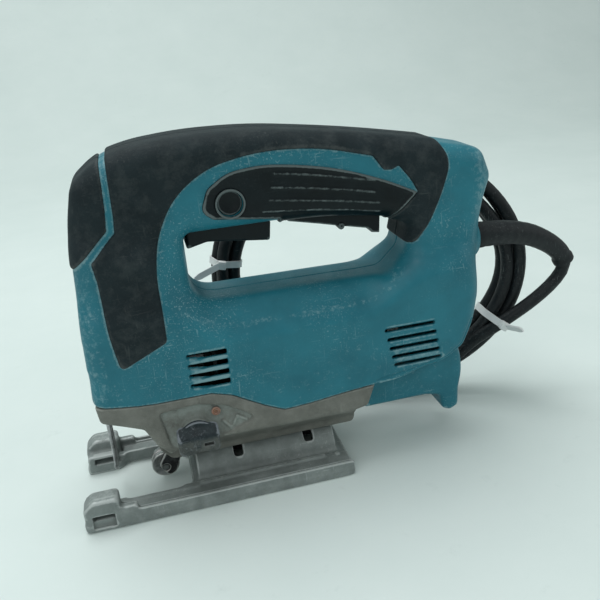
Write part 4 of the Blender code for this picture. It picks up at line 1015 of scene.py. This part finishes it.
def roller(looks):
    """The wheel behind the blade, with the groove that guides it."""
    grid = Grid((ROLLER[0] - 10, -5.2, ROLLER[1] - 10), (ROLLER[0] + 10, 5.2, ROLLER[1] + 10), 0.25)
    round_about = np.hypot(grid.x - ROLLER[0], grid.z - ROLLER[1])
    profile = 8.3 - 1.3 * np.exp(-(grid.y / 0.85) ** 2)
    wheel = rounded_meet(round_about - profile, np.abs(grid.y) - 4.1, 0.6)
    wheel = remove(wheel, round_about - 2.3)
    dress(solid("guide_roller", wheel, grid), "blade_roller", "steel", looks, "blade_roller")


def lock(looks):
    """The dished lock-on button, deep in its ring."""
    grid = Grid((LOCK[0] - 10.5, -25.0, LOCK[1] - 10.5), (LOCK[0] + 10.5, -12.5, LOCK[1] + 10.5), 0.28)
    cup = np.hypot(grid.x - LOCK[0], grid.z - LOCK[1])
    button = rounded_meet(cup - 6.5, np.abs(grid.y + 16.6) - 3.1, 0.5)
    hollow = np.sqrt(cup ** 2 + (grid.y + 30.0) ** 2) - 11.5
    button = remove(button, hollow, 0.8)
    dress(solid("lock_stud", button, grid), "lock_button", "black_plastic", looks, "lock_button")
    rim = rounded_meet(np.abs(cup - 7.35) - 0.55, np.abs(grid.y + 20.2) - 3.0, 0.5)
    # The ring's outer face is painted pale: partly wear, partly a painted highlight along the rim.
    ring = solid("lock_ring", rim, grid, marks=lambda x, y, z: 0.5 * (y < -22.8))
    dress(ring, "body", "black_plastic", looks, "lock_bezel")


def screw_heads(looks):
    """Pan heads with a star recess, and the side screw's worn dot."""
    for i, (station, height, reach) in enumerate(SCREWS):
        grid = Grid((station - 4, -11.0, height - 4), (station + 4, reach + 3.4, height + 4), 0.3)
        out = np.hypot(grid.x - station, grid.z - height)
        turn = np.arctan2(grid.z - height, grid.x - station)
        shank = rounded_meet(out - 1.5, np.abs(grid.y - (reach - 9) / 2) - (reach + 11) / 2 + 1.0, 0.3)
        head = rounded_meet(out - 3.3, np.abs(grid.y - reach - 1.5) - 1.2, 0.7)
        form = blend_join(shank, head, 0.3)
        star = np.maximum(out - 1.55 - 0.35 * np.cos(6 * turn), reach + 1.2 - grid.y)
        form = remove(form, star)
        screw = solid(f"case_screw_{i + 1}", form, grid)
        dress(screw, "body", "dark_steel", looks, f"housing_screw_{i + 1}")
    grid = Grid((77.5, -31.5, 53.5), (84.5, -28.5, 60.5), 0.22)
    out = np.hypot(grid.x - 81, grid.z - 57)
    form = rounded_meet(out - 2.6, np.abs(grid.y + 30.0) - 0.75, 0.5)
    form = remove(form, np.maximum(out - 1.1, grid.y + 30.1), 0.2)
    dress(solid("side_plug", form, grid), "body", "brass", {"brass": rusty_finish()}, "side_screw")


# Swept pieces: the cord, its sleeve, its ties, its plug and the wire guard.


def smooth_line(route, spacing):
    """Evenly spaced places on a smooth curve through a route's points."""
    knots = [np.array(point, float) for point in route]
    knots = [2 * knots[0] - knots[1], *knots, 2 * knots[-1] - knots[-2]]
    dense = []
    for a, b, c, d in zip(knots, knots[1:], knots[2:], knots[3:]):
        for k in range(12):
            t = k / 12
            dense.append(0.5 * (2 * b + (c - a) * t + (2 * a - 5 * b + 4 * c - d) * t * t
                                + (3 * b - a - 3 * c + d) * t ** 3))
    dense = np.array(dense + [knots[-2]])
    along = np.concatenate([[0], np.cumsum(np.linalg.norm(np.diff(dense, axis=0), axis=1))])
    spots = np.linspace(0, along[-1], max(3, round(along[-1] / spacing)) + 1)
    return np.stack([np.interp(spots, along, dense[:, i]) for i in range(3)], 1)


def sweep(name, line, section, closed=False, turns=None):
    """Carries a section along a line; section(i) gives its (side, up) pairs.

    turns gives the two directions at each place. Without it the section goes along untwisted.
    """
    line = np.asarray(line, float)
    count = len(line)
    if closed:
        steps = np.roll(line, -1, 0) - np.roll(line, 1, 0)
    else:
        steps = np.gradient(line, axis=0)
    steps /= np.linalg.norm(steps, axis=1)[:, None]
    side = np.cross(steps[0], (0, 0, 1) if abs(steps[0][2]) < 0.9 else (0, 1, 0))
    verts = []
    for i in range(count):
        side = side - steps[i] * side.dot(steps[i])
        side /= np.linalg.norm(side)
        up = np.cross(side, steps[i])
        base = side if turns is None else turns[i][0]
        rise = up if turns is None else turns[i][1]
        verts += [line[i] + a * base + b * rise for a, b in section(i)]
    ring = len(section(0))
    faces = []
    for i in range(count if closed else count - 1):
        low, high = i * ring, ((i + 1) % count) * ring
        faces += [(low + k, low + (k + 1) % ring, high + (k + 1) % ring, high + k) for k in range(ring)]
    obj = make_mesh(name, verts, np.array(faces))
    if not closed:
        close_ends(obj, ring)
    return obj


def close_ends(obj, ring):
    """Faces over both ends of a swept piece, with a crisp edge round them."""
    bm = bmesh.new()
    bm.from_mesh(obj.data)
    bm.verts.ensure_lookup_table()
    bm.faces.new(bm.verts[:ring][::-1])
    bm.faces.new(bm.verts[-ring:])
    bmesh.ops.recalc_face_normals(bm, faces=bm.faces)
    bm.to_mesh(obj.data)
    bm.free()
    obj.data.set_sharp_from_angle(angle=math.radians(50))


def circle(radius, sides):
    """Places round a circle."""
    turns = [2 * math.pi * k / sides for k in range(sides)]
    return [(radius * math.cos(turn), radius * math.sin(turn)) for turn in turns]


def coil_frame():
    """The coil's centre, its two directions in its own plane, and the one out of it."""
    along = np.array((math.cos(COIL_YAW), math.sin(COIL_YAW), 0))
    across = np.array((-math.sin(COIL_YAW), math.cos(COIL_YAW), 0))
    up = -math.sin(COIL_LEAN) * across + np.array((0, 0, math.cos(COIL_LEAN)))
    height = (COIL_TALL + COIL_BUNDLE) * math.cos(COIL_LEAN) + 1.0
    return np.array((*COIL_CENTRE, height)), along, up, np.cross(along, up)


def coil_middle(turn):
    """The middle of the bundle of strands, wider at the rear."""
    centre, along, up, _ = coil_frame()
    wide = COIL_WIDE + 6.0 * max(0.0, math.cos(turn)) ** 2
    return centre + wide * math.cos(turn) * along + COIL_TALL * math.sin(turn) * up


def coil_spoke(turn):
    """Outward from the bundle, square to its course."""
    _, along, up, _ = coil_frame()
    spoke = COIL_TALL * math.cos(turn) * along + COIL_WIDE * math.sin(turn) * up
    return spoke / np.linalg.norm(spoke)


def coil_strand(turn):
    """The cord's place in the tied bundle: four strands in a slowly turning square, looser at the rear."""
    spoke = coil_spoke(turn)
    away = coil_frame()[3]
    round_bundle = turn / 4 + 0.6
    loose = 6.1 + 1.3 * max(0.0, math.sin(turn + 0.35)) ** 2 + 0.5 * math.sin(3 * turn) ** 2
    return coil_middle(turn) + loose * (math.cos(round_bundle) * spoke + math.sin(round_bundle) * away)


def cord_line():
    """The cord's whole course: its lead, the coil and the tail to the plug."""
    coil = [coil_strand(turn) for turn in np.linspace(COIL_FIRST, COIL_LAST, COIL_POINTS)]
    return smooth_line([*LEAD_ROUTE, *coil, *TAIL_ROUTE], 6.0)


def cord_sleeve(looks):
    """The tapered strain relief, ribbed along its length, with a bead at its end."""
    line = smooth_line(GUARD_ROUTE, 1.5)
    last = len(line) - 1

    def section(i):
        share = i / last
        radius = 8.2 - 2.2 * share
        if share > 0.955:
            radius += 0.75
        ripple = 0.28 * math.sin(i * 0.85) ** 2 if 0.12 < share < 0.9 else 0.0
        return circle(radius + ripple * (1 - share), 28)

    return dress(sweep("strain_relief", line, section), "body", "cable_rubber", looks, "cord_guard")


def cord(looks):
    """The sleeve, the cord with its coil, its plug and its two ties."""
    guard = cord_sleeve(looks)
    line = cord_line()
    lead = sweep("mains_cord", line, lambda i: circle(CORD_RADIUS, 16))
    dress(lead, "body", "cable_rubber", looks, "cord_lead", "cord_coil", "cord_tail")
    shell, pins = plug(looks)
    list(pins)
    tie("tie_rear", math.radians(-28), looks, "cable_tie_rear", (0.15, -0.75, 0.2), 16)
    tie("tie_front", math.radians(171), looks, "cable_tie_front", (-0.75, -0.45, -0.1), 22)


def plug(looks):
    """A round moulded plug with a flexible neck and two sleeved pins."""
    grid = Grid((PLUG_FRONT - 38.5, PLUG_Y - 12.5, PLUG_Z - 11.8),
                (PLUG_FRONT + 1.5, PLUG_Y + 12.5, PLUG_Z + 12.5), 0.5)
    back = PLUG_FRONT - grid.x
    radius = np.interp(back, (0, 3, 12, 17, 21, 26, 36, 37.2), (5.0, 6.3, 7.4, 8.2, 10.0, 10.5, 10.5, 9.9))
    radius = radius.astype(np.float32)
    neck = 0.45 * (np.cos(back * 2.1) > 0.2) * (back > 1.5) * (back < 14)
    out = (np.abs(grid.y - PLUG_Y) ** 2.3 + np.abs(grid.z - PLUG_Z) ** 2.3 + 1e-6) ** (1 / 2.3)
    form = rounded_meet(out - radius + neck, np.abs(back - 18.6) - 18.6, 1.4)
    for side in (-1, 1):
        dent = (back - 27) ** 2 / 2.2 + (grid.z - PLUG_Z) ** 2 + (grid.y - PLUG_Y - side * 15.5) ** 2
        form = remove(form, np.sqrt(dent) - 6.8, 1.2)
    shell = solid("plug_shell", form, grid)
    dress(shell, "body", "cable_rubber", looks, "plug_body")
    pins = []
    for label, offset in (("a", -6.65), ("b", 6.65)):
        grid = Grid((PLUG_FRONT - 57, PLUG_Y + offset - 3.2, PLUG_Z - 3.2),
                    (PLUG_FRONT - 36, PLUG_Y + offset + 3.2, PLUG_Z + 3.2), 0.3)
        out = np.hypot(grid.y - PLUG_Y - offset, grid.z - PLUG_Z)
        thick = 2.4 - 0.25 * (grid.x < PLUG_FRONT - 47)
        form = rounded_meet(out - thick, np.abs(grid.x - PLUG_FRONT + 46.6) - 9.4, 1.2)
        pin = solid("plug_prong_" + label, form, grid)
        pins.append(dress(pin, "body", "brass", looks, "plug_pin_" + label))
    return shell, pins


def tie_course(turn):
    """Where a tie's band runs round the strands, and at each place its width's direction and the way out."""
    middle = coil_middle(turn)
    step = coil_middle(turn + 0.01) - coil_middle(turn - 0.01)
    step /= np.linalg.norm(step)
    spoke = coil_spoke(turn)
    away = coil_frame()[3]
    first = 0 if turn < 0 else 1
    strands = [coil_strand(turn - 2 * math.pi * (k + first)) for k in range(4)]
    if turn < 0:
        lead = smooth_line(LEAD_ROUTE, 1.0)
        strands.append(min(lead, key=lambda spot: abs((spot - middle).dot(step))))
    flat = [((s - middle).dot(spoke), (s - middle).dot(away)) for s in strands]
    course, turns = [], []
    for way in circle(1.0, TIE_POINTS):
        reach = max(flat, key=lambda p: p[0] * way[0] + p[1] * way[1])
        spot = (reach[0] + (CORD_RADIUS + 0.7) * way[0], reach[1] + (CORD_RADIUS + 0.7) * way[1])
        course.append(middle + spot[0] * spoke + spot[1] * away)
        turns.append((step, way[0] * spoke + way[1] * away))
    return course, turns


def tie_head(bm, spot, step, onward, out):
    """The locking head: a bevelled block on the band."""
    made = bmesh.ops.create_cube(bm, size=1.0)["verts"]
    sizes = [Vector(way * size * MM) for way, size in ((step, 5.6), (onward, 5.4), (out, 4.2))]
    place = Matrix.Translation(Vector(to_world(spot))) @ Matrix(sizes).transposed().to_4x4()
    bmesh.ops.transform(bm, matrix=place, verts=made)
    edges = list({edge for vert in made for edge in vert.link_edges})
    bmesh.ops.bevel(bm, geom=edges, offset=0.8 * MM, segments=3, affect="EDGES", profile=0.6)


def tie_tail(bm, start, facing, out, length):
    """The cut end that stands off the head."""
    across = np.cross(facing, out)
    across /= np.linalg.norm(across)
    thick = np.cross(across, facing) * 0.55
    rings = []
    for share in np.arange(7) / 6:
        point = start + facing * length * share + out * 1.6 * share
        wide = 2.1 if share < 1 else 1.2
        rings.append([bm.verts.new(to_world(point + a * wide * across + b * thick))
                      for a, b in ((-1, -1), (1, -1), (1, 1), (-1, 1))])
    for low, high in zip(rings, rings[1:]):
        for k in range(4):
            bm.faces.new((low[k], low[(k + 1) % 4], high[(k + 1) % 4], high[k]))
    bm.faces.new(rings[0][::-1])
    bm.faces.new(rings[-1])


def tie(name, turn, looks, node, tail_way, tail_length):
    """A nylon tie drawn round the four strands, with its locking head and its cut tail."""
    course, turns = tie_course(turn)
    strip = [(-2.3, -0.55), (2.3, -0.55), (2.45, 0), (2.3, 0.55), (-2.3, 0.55), (-2.45, 0)]
    band = sweep(name, course, lambda i: strip, True, turns)
    at = max(range(TIE_POINTS), key=lambda k: turns[k][1].dot(TIE_HEAD_FACES))
    step, out = turns[at]
    onward = np.cross(step, out)
    spot = course[at] + 1.6 * out
    bm = bmesh.new()
    bm.from_mesh(band.data)
    tie_head(bm, spot, step, onward, out)
    tie_tail(bm, spot + 1.2 * onward, np.array(tail_way) / np.linalg.norm(tail_way), out, tail_length)
    bmesh.ops.recalc_face_normals(bm, faces=bm.faces)
    bm.to_mesh(band.data)
    bm.free()
    band.data.shade_smooth()
    band.data.set_sharp_from_angle(angle=math.radians(40))
    dress(band, "body", "white_nylon", looks, node)


def wire_guard(looks):
    """A bent wire in front of the blade: two legs and a round foot."""
    leg = [(20.0, 4.5, 64), (20.0, 4.5, 42), (20.0, 4.5, 30), (19.8, 4.5, 21)]
    turns = np.linspace(0, math.pi, 9)
    foot = [(19.4, -4.5 * math.cos(turn), 18.5 - 3.0 * math.sin(turn)) for turn in turns]
    route = [(x, -y, z) for x, y, z in leg] + foot + leg[::-1]
    wire = sweep("blade_wire", smooth_line(route, 1.2), lambda i: circle(1.2, 14))
    dress(wire, "body", "steel", looks, "blade_guard_wire")


# The CAD nodes that are seen as they are.


def carried_over(looks):
    """Finishes for the CAD nodes that stay: each keeps its slot's look."""
    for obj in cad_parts.values():
        if obj.hide_render:
            continue
        for slot in obj.material_slots:
            key = (slot.material.name if slot.material else "").split(".")[0]
            slot.material = looks.get(key, looks["steel"])


# The floor and the light.


def floor():
    """A pale sheet that lies flat and rises behind."""
    bm = bmesh.new()
    rows = []
    curve = [(0.9 + 0.8 * math.sin(a), 0.8 - 0.8 * math.cos(a)) for a in np.linspace(0.1, math.pi / 2, 12)]
    profile = [(-2.5, 0.0), (0.9, 0.0), *curve, (1.7, 2.6)]
    for y, z in profile:
        rows.append([bm.verts.new((x, y, z - 0.0001)) for x in (-3.0, 3.0)])
    for low, high in zip(rows, rows[1:]):
        bm.faces.new((low[0], low[1], high[1], high[0]))
    mesh = bpy.data.meshes.new("floor")
    bm.to_mesh(mesh)
    bm.free()
    mesh.shade_smooth()
    mesh.materials.append(floor_finish())
    linked("floor", mesh)


def floor_finish():
    """A matt near-white with faint clouds and scuffs."""
    made = Recipe("floor")
    smear = made.noise(7.0, 7.0, 0.65)
    tone = made.mix(made.ramp(smear, 0.35, 0.7), (0.66, 0.74, 0.72), (0.70, 0.775, 0.755))
    scuff = made.math("MULTIPLY", made.ramp(made.noise(55.0, 6.0, 0.7), 0.60, 0.75),
                      made.ramp(made.noise(4.0, 2.0, 0.5), 0.45, 0.6))
    tone = made.mix(made.math("MULTIPLY", scuff, 0.35), tone, (0.52, 0.60, 0.58))
    made.link(tone, made.shader.inputs["Base Color"])
    made.shader.inputs["Roughness"].default_value = 0.55
    made.link(made.bump(made.noise(900.0, 2.0, 0.5), 0.0001, 0.3), made.shader.inputs["Normal"])
    return made.material


def light(name, spot, aim, size, power, colour=(1, 1, 1)):
    data = bpy.data.lights.new(name, "AREA")
    data.shape = "SQUARE"
    data.size = size
    data.energy = power
    data.color = colour
    obj = linked(name, data)
    obj.location = spot
    obj.rotation_euler = (Vector(aim) - Vector(spot)).to_track_quat("-Z", "Y").to_euler()


def lights():
    light("overhead", (-0.25, 0.35, 1.6), (0, 0, 0.1), 1.3, 19.0, (0.97, 1.0, 1.0))
    light("front", (-0.9, -1.3, 1.1), (0, 0, 0.1), 1.4, 6.5, (0.98, 1.0, 1.0))
    light("right", (1.5, -0.6, 0.9), (0, 0, 0.1), 1.2, 3.0)
    world = bpy.data.worlds.new("studio")
    world.use_nodes = True
    shade = world.node_tree.nodes["Background"]
    shade.inputs["Color"].default_value = (0.86, 0.94, 0.93, 1)
    shade.inputs["Strength"].default_value = 0.46
    bpy.context.scene.world = world


def main():
    camera()
    looks = finishes()
    cord(looks)
    floor()
    lights()
    body = Body(FORM_STEP)
    housings(body, looks)
    coverings(body, looks)
    casting(looks)
    base(looks)
    knob(looks)
    side_pieces(looks)
    roller(looks)
    lock(looks)
    screw_heads(looks)
    wire_guard(looks)
    carried_over(looks)


main()
